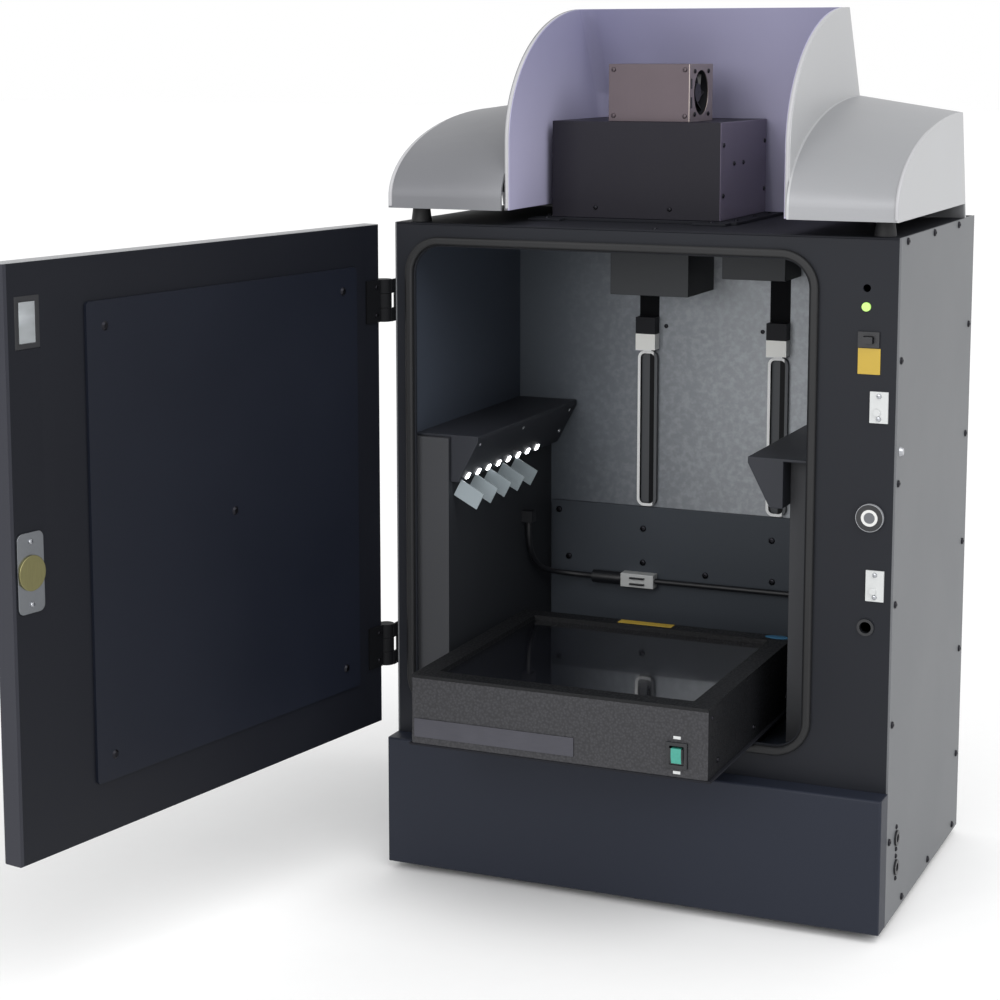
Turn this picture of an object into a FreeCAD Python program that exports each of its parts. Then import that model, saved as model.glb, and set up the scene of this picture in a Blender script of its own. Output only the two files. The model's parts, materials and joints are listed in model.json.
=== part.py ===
import FreeCAD, Part
import math
import os
import re

import Sketcher
from FreeCAD import Placement, Rotation, Vector

# Gel documentation system: a dark cabinet with a hinged door, a slide-out ultraviolet
# illuminator, side and overhead lamps, and a camera box under a moulded hood.
# Millimetres, +Z up, +X to the right of someone facing the door and +Y into the cabinet.
# The origin is the centre of the cabinet's footprint, on the surface it stands on.

# Driving sizes: name, value, meaning
SIZES = (
    ("width", 508, "cabinet across the front"),
    ("depth", 316, "cabinet from front frame to back panel"),
    ("body_high", 650.5, "cabinet without feet"),
    ("wall", 2, "cabinet sheet"),
    ("frame_wall", 3, "front frame sheet"),
    ("foot_high", 8, "rubber foot"),
    ("foot_radius", 14, "rubber foot"),
    ("foot_inset", 28, "foot centre from the cabinet's sides"),
    ("bumper_high", 14.5, "rubber bumper that carries the hood"),
    ("bumper_radius", 10.3, "bumper at its base"),
    ("bumper_tip", 8.5, "bumper at its top"),
    ("bumper_inset", 20, "bumper centre from the cabinet's sides"),
    ("plinth_high", 130.5, "lower front cover"),
    ("plinth_proud", 25, "lower front cover ahead of the front frame"),
    ("plinth_round", 2.5, "lower front cover, front edges"),
    ("opening_margin", 22, "left edge of the cabinet to the door opening"),
    ("opening_wide", 401, "door opening"),
    ("opening_high", 463, "door opening"),
    ("opening_rise", 34, "lower front cover's top to the door opening"),
    ("opening_round", 27, "door opening's corners"),
    ("gasket_wide", 8, "rubber bead round the opening"),
    ("gasket_high", 5.5, "rubber bead ahead of the front frame"),
    ("gasket_gap", 1.5, "opening's edge to the bead"),
    ("gasket_round", 2.4, "bead's front edges"),
    ("chamber_deep", 284, "front frame's face to the chamber's back wall"),
    ("chamber_margin", 7, "chamber's side walls outside the opening"),
    ("chamber_drop", 20, "chamber floor below the opening"),
    ("chamber_rise", 2, "chamber roof above the opening"),
    ("lens_x", -38, "camera axis"),
    ("lens_y", 2, "camera axis"),
    ("port_radius", 30, "camera port"),
    ("pin_out", 9, "hinge pin outside the cabinet's side"),
    ("pin_ahead", 8, "hinge pin ahead of the front frame"),
    ("pin_radius", 3, "hinge pin"),
    ("pin_play", 0.05, "hinge pin in its knuckles"),
    ("knuckle_radius", 8, "hinge barrel"),
    ("knuckle_high", 42, "hinge barrel, all three knuckles"),
    ("knuckle_share", 14, "height of the door's knuckle"),
    ("knuckle_gap", 0.4, "between knuckles"),
    ("leaf_thick", 2, "hinge leaves"),
    ("leaf_long", 30, "hinge leaves from the pin"),
    ("hinge_low", 231, "lower hinge's middle above the floor"),
    ("hinge_top", 581, "upper hinge's middle above the floor"),
    ("door_open", 100, "angle at which the door stands open"),
    ("door_start", 8.5, "pin to the door's edge"),
    ("door_wide", 506, "door"),
    ("door_high", 504.5, "door"),
    ("door_thick", 20, "door"),
    ("door_gap", 8, "door's rim to the front frame"),
    ("door_lift", 14, "door above the lower front cover's top"),
    ("door_round", 3, "door's outer edges"),
    ("pan_rise", 2, "pressed middle of the door's inner face"),
    ("pan_hinge", 26, "hinge edge to the pressed middle"),
    ("pan_free", 40, "free edge to the pressed middle's slope"),
    ("pan_top", 20, "top edge to the pressed middle's slope"),
    ("pan_slope", 17, "slope of the pressed middle"),
    ("liner_from", 50, "pin to the door's inner plate"),
    ("liner_wide", 375, "door's inner plate"),
    ("liner_low", 200, "inner plate above the floor"),
    ("liner_high", 418, "door's inner plate"),
    ("liner_thick", 2.5, "door's inner plate"),
    ("liner_round", 4, "inner plate's corners"),
    ("screw_inset", 22, "inner plate's screws from its edges"),
    ("screw_head", 4, "plate screw's head radius"),
    ("screw_rise", 1.6, "plate screw's head"),
    ("screw_shank", 2, "plate screw's shank radius"),
    ("screw_play", 0.1, "screw in its hole"),
    ("window_far", 489, "pin to the middle of the indicator window"),
    ("window_z", 607, "middle of the indicator window above the floor"),
    ("window_wide", 18, "indicator window pane"),
    ("window_high", 34, "indicator window pane"),
    ("window_rim", 5, "indicator window's frame"),
    ("pane_thick", 3, "indicator window pane"),
    ("latch_far", 494, "pin to the middle of the latch plate"),
    ("latch_z", 400, "magnet and latch plate above the floor"),
    ("latch_wide", 30, "latch plate"),
    ("latch_high", 68, "latch plate"),
    ("latch_thick", 1.5, "latch plate"),
    ("latch_round", 6, "latch plate's corners"),
    ("disc_radius", 15, "armature disc"),
    ("disc_thick", 2, "armature disc"),
    ("handle_long", 110, "door handle"),
    ("handle_out", 28, "door handle ahead of the door"),
    ("handle_bar", 9, "door handle's bar"),
    ("handle_in", 40, "door's free edge to the handle"),
    ("magnet_radius", 13, "round magnet"),
    ("magnet_stem", 9, "round magnet in the frame"),
    ("magnet_proud", 4, "round magnet ahead of the frame"),
    ("magnet_x", 231, "round magnet from the middle of the cabinet"),
    ("pad_wide", 17, "white catch plates"),
    ("pad_tall", 29, "white catch plates"),
    ("pad_thick", 2, "white catch plates"),
    ("pad_x", 237, "catch plates from the middle of the cabinet"),
    ("pad_top_z", 503, "upper catch plate above the floor"),
    ("pad_low_z", 336, "lower catch plate above the floor"),
    ("pad_button", 3.2, "round button on a catch plate"),
    ("lamp_x", 223, "indicator lamp from the middle of the cabinet"),
    ("lamp_z", 595, "indicator lamp above the floor"),
    ("lamp_radius", 4.2, "indicator lamp"),
    ("eye_z", 612, "dark eye above the indicator lamp"),
    ("eye_radius", 3.6, "dark eye"),
    ("plunger_x", 226, "interlock from the middle of the cabinet"),
    ("plunger_z", 565, "interlock above the floor"),
    ("plunger_wide", 9, "interlock plunger"),
    ("plunger_tall", 6, "interlock plunger"),
    ("plunger_out", 7.4, "plunger ahead of the front frame"),
    ("plunger_play", 0.4, "plunger in its bezel"),
    ("bezel_wide", 20, "interlock bezel"),
    ("bezel_tall", 14.5, "interlock bezel"),
    ("bezel_out", 2, "interlock bezel ahead of the front frame"),
    ("bezel_deep", 14, "interlock body behind the front frame"),
    ("grommet_x", 229, "round cable port from the middle of the cabinet"),
    ("grommet_z", 296, "round cable port above the floor"),
    ("grommet_radius", 8, "round cable port"),
    ("grommet_bore", 5.5, "round cable port's bore"),
    ("socket_y", 37, "side sockets behind the front frame"),
    ("socket_z", 55, "lower side socket above the floor"),
    ("socket_step", 29, "between the side sockets"),
    ("socket_radius", 7.5, "side socket's flange"),
    ("socket_bore", 4, "side socket's bore"),
    ("socket_body", 6, "side socket's barrel"),
    ("socket_long", 18, "side socket's barrel"),
    ("stud_y", 14, "side stud behind the front frame"),
    ("stud_z", 461, "side stud above the floor"),
    ("stud_radius", 4.6, "side stud"),
    ("box_wide", 38, "left lower box"),
    ("box_right", 33, "right lower box"),
    ("box_top", 443, "lower boxes above the floor"),
    ("box_front", 10, "left lower box behind the front frame"),
    ("box_front_right", 40, "right lower box behind the front frame"),
    ("housing_wide", 68, "side lamp housing from the chamber wall"),
    ("housing_front", 15, "side lamp housing behind the front frame"),
    ("housing_lid", 3, "side lamp housing's lid"),
    ("housing_drop", 45, "side lamp housing below its lid"),
    ("housing_nose", 3, "side lamp housing's upright nose"),
    ("housing_foot", 22, "nose to the lowest edge"),
    ("led_count", 8, "lamps in a side row"),
    ("led_size", 6, "side lamp"),
    ("led_thick", 1.5, "side lamp"),
    ("led_pitch", 26, "between side lamps"),
    ("led_front", 33, "first side lamp behind the front frame"),
    ("led_rise", 5, "side lamp's middle above the housing's lowest edge, along its slope"),
    ("vane_count", 5, "reflector vanes under a side row"),
    ("vane_wide", 28, "reflector vane, out from the housing's sloping face"),
    ("vane_tall", 18, "reflector vane, along the sloping face"),
    ("vane_thick", 1.5, "reflector vane"),
    ("vane_pitch", 35, "between reflector vanes"),
    ("vane_front", 21, "first reflector vane behind the front frame"),
    ("vane_grip", 2, "reflector vane's hold on the housing's sloping face"),
    ("over_left_x", -58, "left overhead lamp's middle"),
    ("over_left_wide", 86, "left overhead lamp"),
    ("over_left_deep", 85, "left overhead lamp"),
    ("over_left_tall", 64, "left overhead lamp"),
    ("over_right_x", 47, "right overhead lamp's middle"),
    ("over_right_wide", 68, "right overhead lamp"),
    ("over_right_deep", 60, "right overhead lamp"),
    ("over_right_tall", 46, "right overhead lamp"),
    ("slot_wide", 22, "upright lamp on the back wall"),
    ("slot_left_x", -87, "left upright lamp's middle"),
    ("slot_right_x", 59, "right upright lamp's middle"),
    ("slot_low", 334, "upright lamps above the floor"),
    ("slot_high", 171, "white frame of an upright lamp"),
    ("slot_rim", 3, "white frame of an upright lamp"),
    ("slot_thick", 6, "white frame of an upright lamp"),
    ("slot_round", 8, "upright lamp's corners"),
    ("cap_tall", 36, "connector block above an upright lamp"),
    ("cap_thick", 14, "connector block above an upright lamp"),
    ("service_high", 180, "service panel on the back wall"),
    ("service_thick", 4, "service panel on the back wall"),
    ("service_left", 39, "service panel from the chamber's left wall"),
    ("service_right", 35, "service panel from the chamber's right wall"),
    ("lead_radius", 3, "lamp lead"),
    ("lead_z", 252, "lamp lead's run along the back"),
    ("plug_long", 34, "lead's black connector"),
    ("plug_radius", 7, "lead's black connector"),
    ("terminal_long", 38, "white terminal block"),
    ("terminal_tall", 15, "white terminal block"),
    ("terminal_deep", 14, "white terminal block"),
    ("clip_size", 12, "lead clip"),
    ("supply_wide", 50, "power supply"),
    ("supply_deep", 180, "power supply"),
    ("supply_tall", 110, "power supply"),
    ("tray_out", 141, "illuminator's front ahead of the front frame"),
    ("tray_travel", 143, "illuminator pushed in"),
    ("tray_play", 1.5, "tray above the opening's lower edge"),
    ("tray_thick", 2, "tray plate"),
    ("tray_lip", 3, "tray plate beside the illuminator"),
    ("rail_wide", 26, "slide rail"),
    ("rail_wall", 3, "slide rail"),
    ("rail_inset", 25, "illuminator's side to a rail's middle"),
    ("rail_front", 6, "rails behind the front frame's back"),
    ("carriage_wide", 12, "slide carriage"),
    ("carriage_play", 0.5, "carriage in its rail"),
    ("carriage_long", 92, "slide carriage"),
    ("carriage_front", 23, "carriages behind the front frame's face"),
    ("lit_left", -171, "illuminator's left side"),
    ("lit_wide", 294, "illuminator"),
    ("lit_deep", 276, "illuminator"),
    ("lit_high", 67, "illuminator"),
    ("lit_wall", 2, "illuminator's sheet"),
    ("lit_rim", 20, "illuminator's top frame round the filter"),
    ("lit_rim_thick", 3, "illuminator's top frame"),
    ("lit_step", 5, "filter below the top frame's face"),
    ("filter_thick", 5, "filter glass"),
    ("filter_lap", 8, "filter glass under the top frame"),
    ("tube_count", 6, "ultraviolet tubes"),
    ("tube_radius", 8, "ultraviolet tube"),
    ("tube_long", 226, "ultraviolet tubes"),
    ("tube_pitch", 40, "between tubes"),
    ("holder_thick", 8, "tube holder bars"),
    ("switch_in", 29, "illuminator's right side to the switch's middle"),
    ("switch_rise", 21, "switch's middle above the illuminator's base"),
    ("switch_wide", 13, "rocker"),
    ("switch_tall", 17, "rocker"),
    ("switch_rim", 2.5, "switch bezel"),
    ("switch_out", 2, "switch bezel ahead of the illuminator"),
    ("switch_deep", 16, "switch body"),
    ("switch_play", 0.3, "rocker in its bezel"),
    ("rocker_tilt", 12, "rocker between on and off"),
    ("axle_radius", 1.5, "rocker's axle"),
    ("axle_play", 0.06, "rocker on its axle"),
    ("cam_left", -122, "camera box's left side"),
    ("cam_wide", 176, "camera box"),
    ("cam_front", 88, "camera box behind the front frame"),
    ("cam_deep", 152, "camera box"),
    ("cam_high", 95.5, "camera box"),
    ("cam_wall", 2, "camera box"),
    ("flange_thick", 3, "camera base plate"),
    ("flange_out", 18, "base plate beside the camera box"),
    ("flange_deep", 4, "base plate ahead of and behind the box"),
    ("wheel_off", 30, "filter wheel's axis from the camera's"),
    ("wheel_radius", 44, "filter wheel"),
    ("wheel_thick", 5, "filter wheel"),
    ("wheel_lift", 5, "filter wheel above the base plate"),
    ("wheel_hub", 8, "filter wheel's hub"),
    ("filter_radius", 10, "filter in the wheel"),
    ("filter_count", 5, "filters in the wheel"),
    ("spindle_radius", 3, "filter wheel's spindle"),
    ("spindle_play", 0.05, "filter wheel on its spindle"),
    ("bridge_lift", 50, "camera bridge above the base plate"),
    ("bridge_wide", 130, "camera bridge"),
    ("bridge_left", 46, "camera axis to the bridge's left leg"),
    ("bridge_deep", 40, "camera bridge"),
    ("bridge_thick", 3, "camera bridge"),
    ("lens_radius", 16, "lens barrel"),
    ("lens_play", 0.2, "lens barrel in the bridge"),
    ("lens_drop", 30, "lens barrel below the bridge"),
    ("lens_flange", 20, "lens flange"),
    ("body_size", 48, "camera body"),
    ("camera_high", 30, "camera body"),
    ("fan_left", 56, "fan box from the camera box's left side"),
    ("fan_wide", 84, "fan box"),
    ("fan_back", 10, "fan box behind the camera box's front"),
    ("fan_deep", 72, "fan box"),
    ("fan_high", 56, "fan box"),
    ("fan_wall", 1.5, "fan box"),
    ("fan_radius", 22, "fan opening"),
    ("fan_size", 50, "fan frame"),
    ("fan_thick", 15, "fan frame"),
    ("fan_hub", 9, "fan hub"),
    ("fan_gap", 1, "fan blades to the frame"),
    ("fan_blades", 7, "fan blades"),
    ("blade_thick", 1.2, "fan blade"),
    ("blade_deep", 8, "fan blade along the axis"),
    ("blade_turn", 38, "fan blade's sweep in degrees"),
    ("spider_wide", 3, "fan frame's spokes"),
    ("shaft_radius", 2, "fan shaft"),
    ("shaft_play", 0.05, "fan on its shaft"),
    ("hood_front", 14, "hood ahead of the front frame"),
    ("hood_back", 270, "hood's back edge behind the front frame"),
    ("hood_knee", 108, "bend in the hood's back above its lower edge"),
    ("hood_lean", 28, "hood's back leans forward by this up to the bend"),
    ("hood_wall", 3, "hood"),
    ("hood_seat", 0.3, "hood above its bumpers and the top panel"),
    ("hood_upright", 11, "hood's upright front edge"),
    ("shoulder_rise", 81, "shoulder's curve at the hood's end"),
    ("hump_spring", 65, "hump's upright front edge"),
    ("hump_rise", 130, "hump's curve"),
    ("hump_front", 5, "hump ahead of the front frame"),
    ("hump_back", 195, "hump's top edge behind the front frame"),
    ("bay_left", -129, "hood bay's left face"),
    ("bay_wide", 274, "hood bay"),
    ("bay_fit", 0.2, "lining in the hood"),
    ("bay_wall", 2, "blue lining of the bay"),
    ("bay_round", 14, "bay's upright back corners"),
)

# Places worked out from the sizes
PLACES = {
    "front": "0 - depth / 2",
    "rear": "depth / 2",
    "west": "0 - width / 2",
    "east": "width / 2",
    "top": "foot_high + body_high",
    "plinth_top": "foot_high + plinth_high",
    "open_west": "west + opening_margin",
    "open_east": "open_west + opening_wide",
    "open_low": "plinth_top + opening_rise",
    "open_top": "open_low + opening_high",
    "room_west": "open_west - chamber_margin",
    "room_east": "open_east + chamber_margin",
    "room_low": "open_low - chamber_drop",
    "room_top": "open_top + chamber_rise",
    "room_back": "front + chamber_deep",
    "pin_x": "west - pin_out",
    "pin_y": "front - pin_ahead",
    "door_west": "pin_x + door_start",
    "door_east": "door_west + door_wide",
    "door_low": "plinth_top + door_lift",
    "door_top": "door_low + door_high",
    "door_back": "front - door_gap",
    "door_face": "door_back - door_thick",
    "pan_back": "door_back + pan_rise",
    "liner_west": "pin_x + liner_from",
    "liner_east": "liner_west + liner_wide",
    "liner_top": "liner_low + liner_high",
    "liner_back": "pan_back + liner_thick",
    "window_x": "pin_x + window_far",
    "latch_x": "pin_x + latch_far",
    "latch_back": "door_back + latch_thick",
    "tray_low": "open_low + tray_play",
    "lit_low": "tray_low + tray_thick",
    "lit_top": "lit_low + lit_high",
    "lit_east": "lit_left + lit_wide",
    "lit_front": "front - tray_out",
    "lit_back": "lit_front + lit_deep",
    "rail_top": "tray_low - tray_play",
    "switch_x": "lit_east - switch_in",
    "switch_z": "lit_low + switch_rise",
    "cam_east": "cam_left + cam_wide",
    "cam_y": "front + cam_front",
    "cam_rear": "cam_y + cam_deep",
    "cam_low": "top + flange_thick",
    "cam_top": "cam_low + cam_high",
    "wheel_x": "lens_x + wheel_off",
    "wheel_low": "cam_low + wheel_lift",
    "bridge_low": "cam_low + bridge_lift",
    "bridge_west": "lens_x - bridge_left",
    "bridge_east": "bridge_west + bridge_wide",
    "fan_west": "cam_left + fan_left",
    "fan_east": "fan_west + fan_wide",
    "fan_front": "cam_y + fan_back",
    "fan_rear": "fan_front + fan_deep",
    "fan_top": "cam_top + fan_high",
    "fan_y": "fan_front + fan_deep / 2",
    "fan_z": "cam_top + fan_high / 2",
    "hood_low": "top + bumper_high + hood_seat",
    "skirt_low": "top + hood_seat",
    "foot_y": "front + hood_back",
    "knee_y": "foot_y - hood_lean",
    "knee_z": "hood_low + hood_knee",
    "cheek_z": "hood_low + hood_upright + shoulder_rise",
    "cheek_y": "knee_y + (knee_z - cheek_z) * hood_lean / hood_knee",
    "hump_top_y": "front + hump_back",
    "hump_top_z": "hood_low + hump_spring + hump_rise",
}

KNOWN = {name for name, value, meaning in SIZES}
WORD = re.compile(r"[a-z][a-z_]+(?![a-z_(])")
TURNS = {
    "x": Rotation(Vector(0, 1, 0), 90),
    "y": Rotation(Vector(1, 0, 0), -90),
    "z": Rotation(),
}
CUT_ROOM = 1.0

doc = FreeCAD.newDocument("GelDocumentationSystem")
sheet = doc.addObject("Spreadsheet::Sheet", "Sizes")
finished = []


def fill_sheet():
    for row, (name, value, meaning) in enumerate(SIZES, start=1):
        sheet.set(f"A{row}", meaning)
        sheet.set(f"B{row}", str(value))
        sheet.setAlias(f"B{row}", name)
    doc.recompute()


def bound(text):
    """Spell a sum of size and place names as an expression on the sheet."""
    def spell(match):
        word = match.group()
        if word in PLACES:
            return f"({bound(PLACES[word])})"
        return f"Sizes.{word}" if word in KNOWN else word
    return WORD.sub(spell, str(text))


def number(text):
    return float(sheet.evalExpression(bound(text)))


def point(across, into, up):
    return Vector(number(across), number(into), number(up))


# Part primitives and booleans
def place(piece, base):
    for axis, text in zip("xyz", base):
        piece.setExpression(f"Placement.Base.{axis}", bound(text))


def box(name, x_span, y_span, z_span):
    piece = doc.addObject("Part::Box", name)
    for prop, (low, high) in (("Length", x_span), ("Width", y_span), ("Height", z_span)):
        piece.setExpression(prop, bound(f"({high}) - ({low})"))
    place(piece, (x_span[0], y_span[0], z_span[0]))
    return piece


def rod(name, radius, axis, base, length):
    piece = doc.addObject("Part::Cylinder", name)
    piece.Placement = Placement(Vector(), TURNS[axis])
    piece.setExpression("Radius", bound(radius))
    piece.setExpression("Height", bound(length))
    place(piece, base)
    return piece


def cone(name, low_radius, high_radius, axis, base, length):
    piece = doc.addObject("Part::Cone", name)
    piece.Placement = Placement(Vector(), TURNS[axis])
    piece.setExpression("Radius1", bound(low_radius))
    piece.setExpression("Radius2", bound(high_radius))
    piece.setExpression("Height", bound(length))
    place(piece, base)
    return piece


def group(name, pieces):
    whole = doc.addObject("Part::Compound", name)
    whole.Links = pieces
    return whole


def join(name, pieces):
    whole = doc.addObject("Part::MultiFuse", name)
    whole.Shapes = pieces
    whole.Refine = True
    return whole


def cut(name, base, tools):
    tool = tools[0] if len(tools) == 1 else group(name + "_cutters", tools)
    whole = doc.addObject("Part::Cut", name)
    whole.Base = base
    whole.Tool = tool
    return whole


def shaped(name, shape):
    piece = doc.addObject("Part::Feature", name)
    piece.Shape = shape
    return piece


# Sketches, pads and pockets
def fix_point(sketch, geometry, end, across, up):
    for kind, text in (("DistanceX", across), ("DistanceY", up)):
        index = sketch.addConstraint(Sketcher.Constraint(kind, -1, 1, geometry, end, number(text)))
        sketch.setExpression(f"Constraints[{index}]", bound(text))


def fix_side(sketch, kind, geometry, text):
    index = sketch.addConstraint(Sketcher.Constraint(kind, -1, 1, geometry, 1, number(text)))
    sketch.setExpression(f"Constraints[{index}]", bound(text))


def polygon(sketch, *corners):
    spots = [Vector(number(across), number(up), 0) for across, up in corners]
    first = sketch.GeometryCount
    total = len(spots)
    for index in range(total):
        sketch.addGeometry(Part.LineSegment(spots[index], spots[(index + 1) % total]))
    for index in range(total):
        following = first + (index + 1) % total
        sketch.addConstraint(Sketcher.Constraint("Coincident", first + index, 2, following, 1))
    for index, (across, up) in enumerate(corners):
        fix_point(sketch, first + index, 1, across, up)


def rectangle(sketch, left, right, low, high):
    polygon(sketch, (left, low), (right, low), (right, high), (left, high))


def circle(sketch, across, up, radius):
    middle = Vector(number(across), number(up), 0)
    index = sketch.addGeometry(Part.Circle(middle, Vector(0, 0, 1), number(radius)))
    fix_point(sketch, index, 3, across, up)
    size = sketch.addConstraint(Sketcher.Constraint("Radius", index, number(radius)))
    sketch.setExpression(f"Constraints[{size}]", bound(radius))


def rounded(sketch, left, right, low, high, radius):
    """Draw a rectangle with equal round corners, anticlockwise from its lower side."""
    west, east, south, north, bend = (number(text) for text in (left, right, low, high, radius))
    first = sketch.GeometryCount
    ends = (
        ((west + bend, south), (east - bend, south), (east - bend, south + bend), -90),
        ((east, south + bend), (east, north - bend), (east - bend, north - bend), 0),
        ((east - bend, north), (west + bend, north), (west + bend, north - bend), 90),
        ((west, north - bend), (west, south + bend), (west + bend, south + bend), 180),
    )
    for start, stop, centre, angle in ends:
        sketch.addGeometry(Part.LineSegment(Vector(*start, 0), Vector(*stop, 0)))
        round_corner = Part.Circle(Vector(*centre, 0), Vector(0, 0, 1), bend)
        sweep = (math.radians(angle), math.radians(angle + 90))
        sketch.addGeometry(Part.ArcOfCircle(round_corner, *sweep))
    for side in range(4):
        line = first + 2 * side
        sketch.addConstraint(Sketcher.Constraint("Tangent", line, 2, line + 1, 1))
        sketch.addConstraint(Sketcher.Constraint("Tangent", line + 1, 2, first + (2 * side + 2) % 8, 1))
        level = "Horizontal" if side % 2 == 0 else "Vertical"
        sketch.addConstraint(Sketcher.Constraint(level, line))
        if side:
            sketch.addConstraint(Sketcher.Constraint("Equal", first + 1, line + 1))
    size = sketch.addConstraint(Sketcher.Constraint("Radius", first + 1, bend))
    sketch.setExpression(f"Constraints[{size}]", bound(radius))
    fix_side(sketch, "DistanceY", first, low)
    fix_side(sketch, "DistanceX", first + 2, right)
    fix_side(sketch, "DistanceY", first + 4, high)
    fix_side(sketch, "DistanceX", first + 6, left)


def draw(body, plane, offset, outlines):
    sketch = body.newObject("Sketcher::SketchObject", body.Name + "_outline")
    support = next(face for face in body.Origin.OriginFeatures if face.Role == plane)
    sketch.AttachmentSupport = (support, [""])
    sketch.MapMode = "FlatFace"
    sketch.setExpression("AttachmentOffset.Base.z", bound(offset))
    for shape, *sizes in outlines:
        shape(sketch, *sizes)
    return sketch


def ends_of(plane, span):
    """Give the two offsets of a span along a plane's normal, which points to -Y on XZ."""
    low, high = span
    return (f"0 - ({high})", f"0 - ({low})") if plane == "XZ_Plane" else (low, high)


def pad(body, plane, span, *outlines):
    start, stop = ends_of(plane, span)
    feature = body.newObject("PartDesign::Pad", body.Name + "_pad")
    feature.Profile = draw(body, plane, start, outlines)
    feature.setExpression("Length", bound(f"({stop}) - ({start})"))
    body.Tip = feature
    return feature


def pocket(body, plane, span, *outlines):
    start, stop = ends_of(plane, span)
    feature = body.newObject("PartDesign::Pocket", body.Name + "_pocket")
    feature.Profile = draw(body, plane, stop, outlines)
    feature.setExpression("Length", bound(f"({stop}) - ({start})"))
    body.Tip = feature
    return feature


def loft(body, plane, first_offset, first, second_offset, second):
    feature = body.newObject("PartDesign::AdditiveLoft", body.Name + "_loft")
    feature.Profile = draw(body, plane, first_offset, [first])
    feature.Sections = [draw(body, plane, second_offset, [second])]
    feature.Ruled = True
    body.Tip = feature
    return feature


def soften(body, radius, wanted, kind="Fillet"):
    """Round or bevel the edges of a body that a test on their middle and ends picks."""
    doc.recompute()
    base = body.Tip
    edges = base.Shape.Edges
    names = [f"Edge{index}" for index, edge in enumerate(edges, start=1) if wanted(edge)]
    feature = body.newObject(f"PartDesign::{kind}", body.Name + "_edges")
    feature.Base = (base, names)
    feature.setExpression("Radius" if kind == "Fillet" else "Size", bound(radius))
    body.Tip = feature
    return feature


def new_body(name):
    return doc.addObject("PartDesign::Body", name)


def plate(name, plane, span, *outlines):
    body = new_body(name)
    pad(body, plane, span, *outlines)
    return body


def at_level(edge, axis, level, reach=0.01):
    """Tell whether a whole edge lies at one level of an axis."""
    low = getattr(edge.BoundBox, axis + "Min")
    high = getattr(edge.BoundBox, axis + "Max")
    return abs(low - level) < reach and abs(high - level) < reach


def finish(piece, name):
    piece.Label = name
    finished.append(piece)
    return piece


# Cabinet
def build_cabinet():
    skin = ("front", "rear")
    tall = ("foot_high", "top")
    for name, low, high in (("left_side_panel", "west", "west + wall"),
                            ("right_side_panel", "east - wall", "east")):
        outlines = [(rectangle, *skin, *tall)]
        if name == "right_side_panel":
            for step in ("0", "socket_step"):
                spot = ("front + socket_y", f"socket_z + {step}")
                outlines.append((circle, *spot, "socket_body + screw_play"))
            outlines.append((circle, "front + stud_y", "stud_z", "screw_shank + screw_play"))
        finish(plate(name + "_body", "YZ_Plane", (low, high), *outlines), name)
    inner = ("west + wall", "east - wall")
    port = (circle, "lens_x", "lens_y", "port_radius")
    top = plate("top_body", "XY_Plane", ("top - wall", "top"), (rectangle, *inner, *skin), port)
    finish(top, "top_panel")
    pan = plate("pan_body", "XY_Plane", ("foot_high", "foot_high + wall"), (rectangle, *inner, *skin))
    finish(pan, "base_pan")
    upright = ("foot_high + wall", "top - wall")
    back = plate("back_body", "XZ_Plane", ("rear - wall", "rear"), (rectangle, *inner, *upright))
    finish(back, "back_panel")
    build_front_frame(inner, upright)
    build_plinth()
    build_feet()


def build_front_frame(inner, upright):
    half_wide = "bezel_wide / 2 - bezel_out"
    half_tall = "bezel_tall / 2 - bezel_out"
    frame = plate(
        "frame_body", "XZ_Plane", ("front", "front + frame_wall"),
        (rectangle, *inner, *upright),
        (rounded, "open_west", "open_east", "open_low", "open_top", "opening_round"),
        (circle, "lamp_x", "lamp_z", "lamp_radius"),
        (circle, "lamp_x", "eye_z", "eye_radius"),
        (circle, "magnet_x", "latch_z", "magnet_stem"),
        (circle, "grommet_x", "grommet_z", "grommet_bore + 1"),
        (rectangle, f"plunger_x - ({half_wide})", f"plunger_x + {half_wide}",
         f"plunger_z - ({half_tall})", f"plunger_z + {half_tall}"))
    finish(frame, "front_frame")
    gap = "gasket_gap"
    reach = "gasket_gap + gasket_wide"
    gasket = plate(
        "gasket_body", "XZ_Plane", ("front - gasket_high", "front"),
        (rounded, f"open_west - ({reach})", f"open_east + {reach}", f"open_low - ({reach})",
         f"open_top + {reach}", f"opening_round + {reach}"),
        (rounded, f"open_west - {gap}", f"open_east + {gap}", f"open_low - {gap}",
         f"open_top + {gap}", f"opening_round + {gap}"))
    face = number("front - gasket_high")
    soften(gasket, "gasket_round", lambda edge: at_level(edge, "Y", face))
    finish(gasket, "door_gasket")


def build_plinth():
    cover = plate("plinth_body", "XZ_Plane", ("front - plinth_proud", "front"),
                  (rectangle, "west", "east", "foot_high", "plinth_top"))
    face = number("front - plinth_proud")
    soften(cover, "plinth_round", lambda edge: at_level(edge, "Y", face))
    pocket(cover, "XZ_Plane", ("front - plinth_proud + wall", "front"),
           (rectangle, "west + wall", "east - wall", "foot_high + wall", "plinth_top - wall"))
    finish(cover, "plinth_cover")


def corners_of(inset):
    near, far = f"front + {inset}", f"rear - {inset}"
    left, right = f"west + {inset}", f"east - {inset}"
    return [(across, into) for across in (left, right) for into in (near, far)]


def build_feet():
    feet = [cone(f"foot_{index}", "foot_radius - 2", "foot_radius", "z", (*spot, "0"), "foot_high")
            for index, spot in enumerate(corners_of("foot_inset"))]
    bumpers = [cone(f"bumper_{index}", "bumper_radius", "bumper_tip", "z", (*spot, "top"), "bumper_high")
               for index, spot in enumerate(corners_of("bumper_inset"))]
    finish(group("feet_group", feet + bumpers), "rubber_feet")


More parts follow.
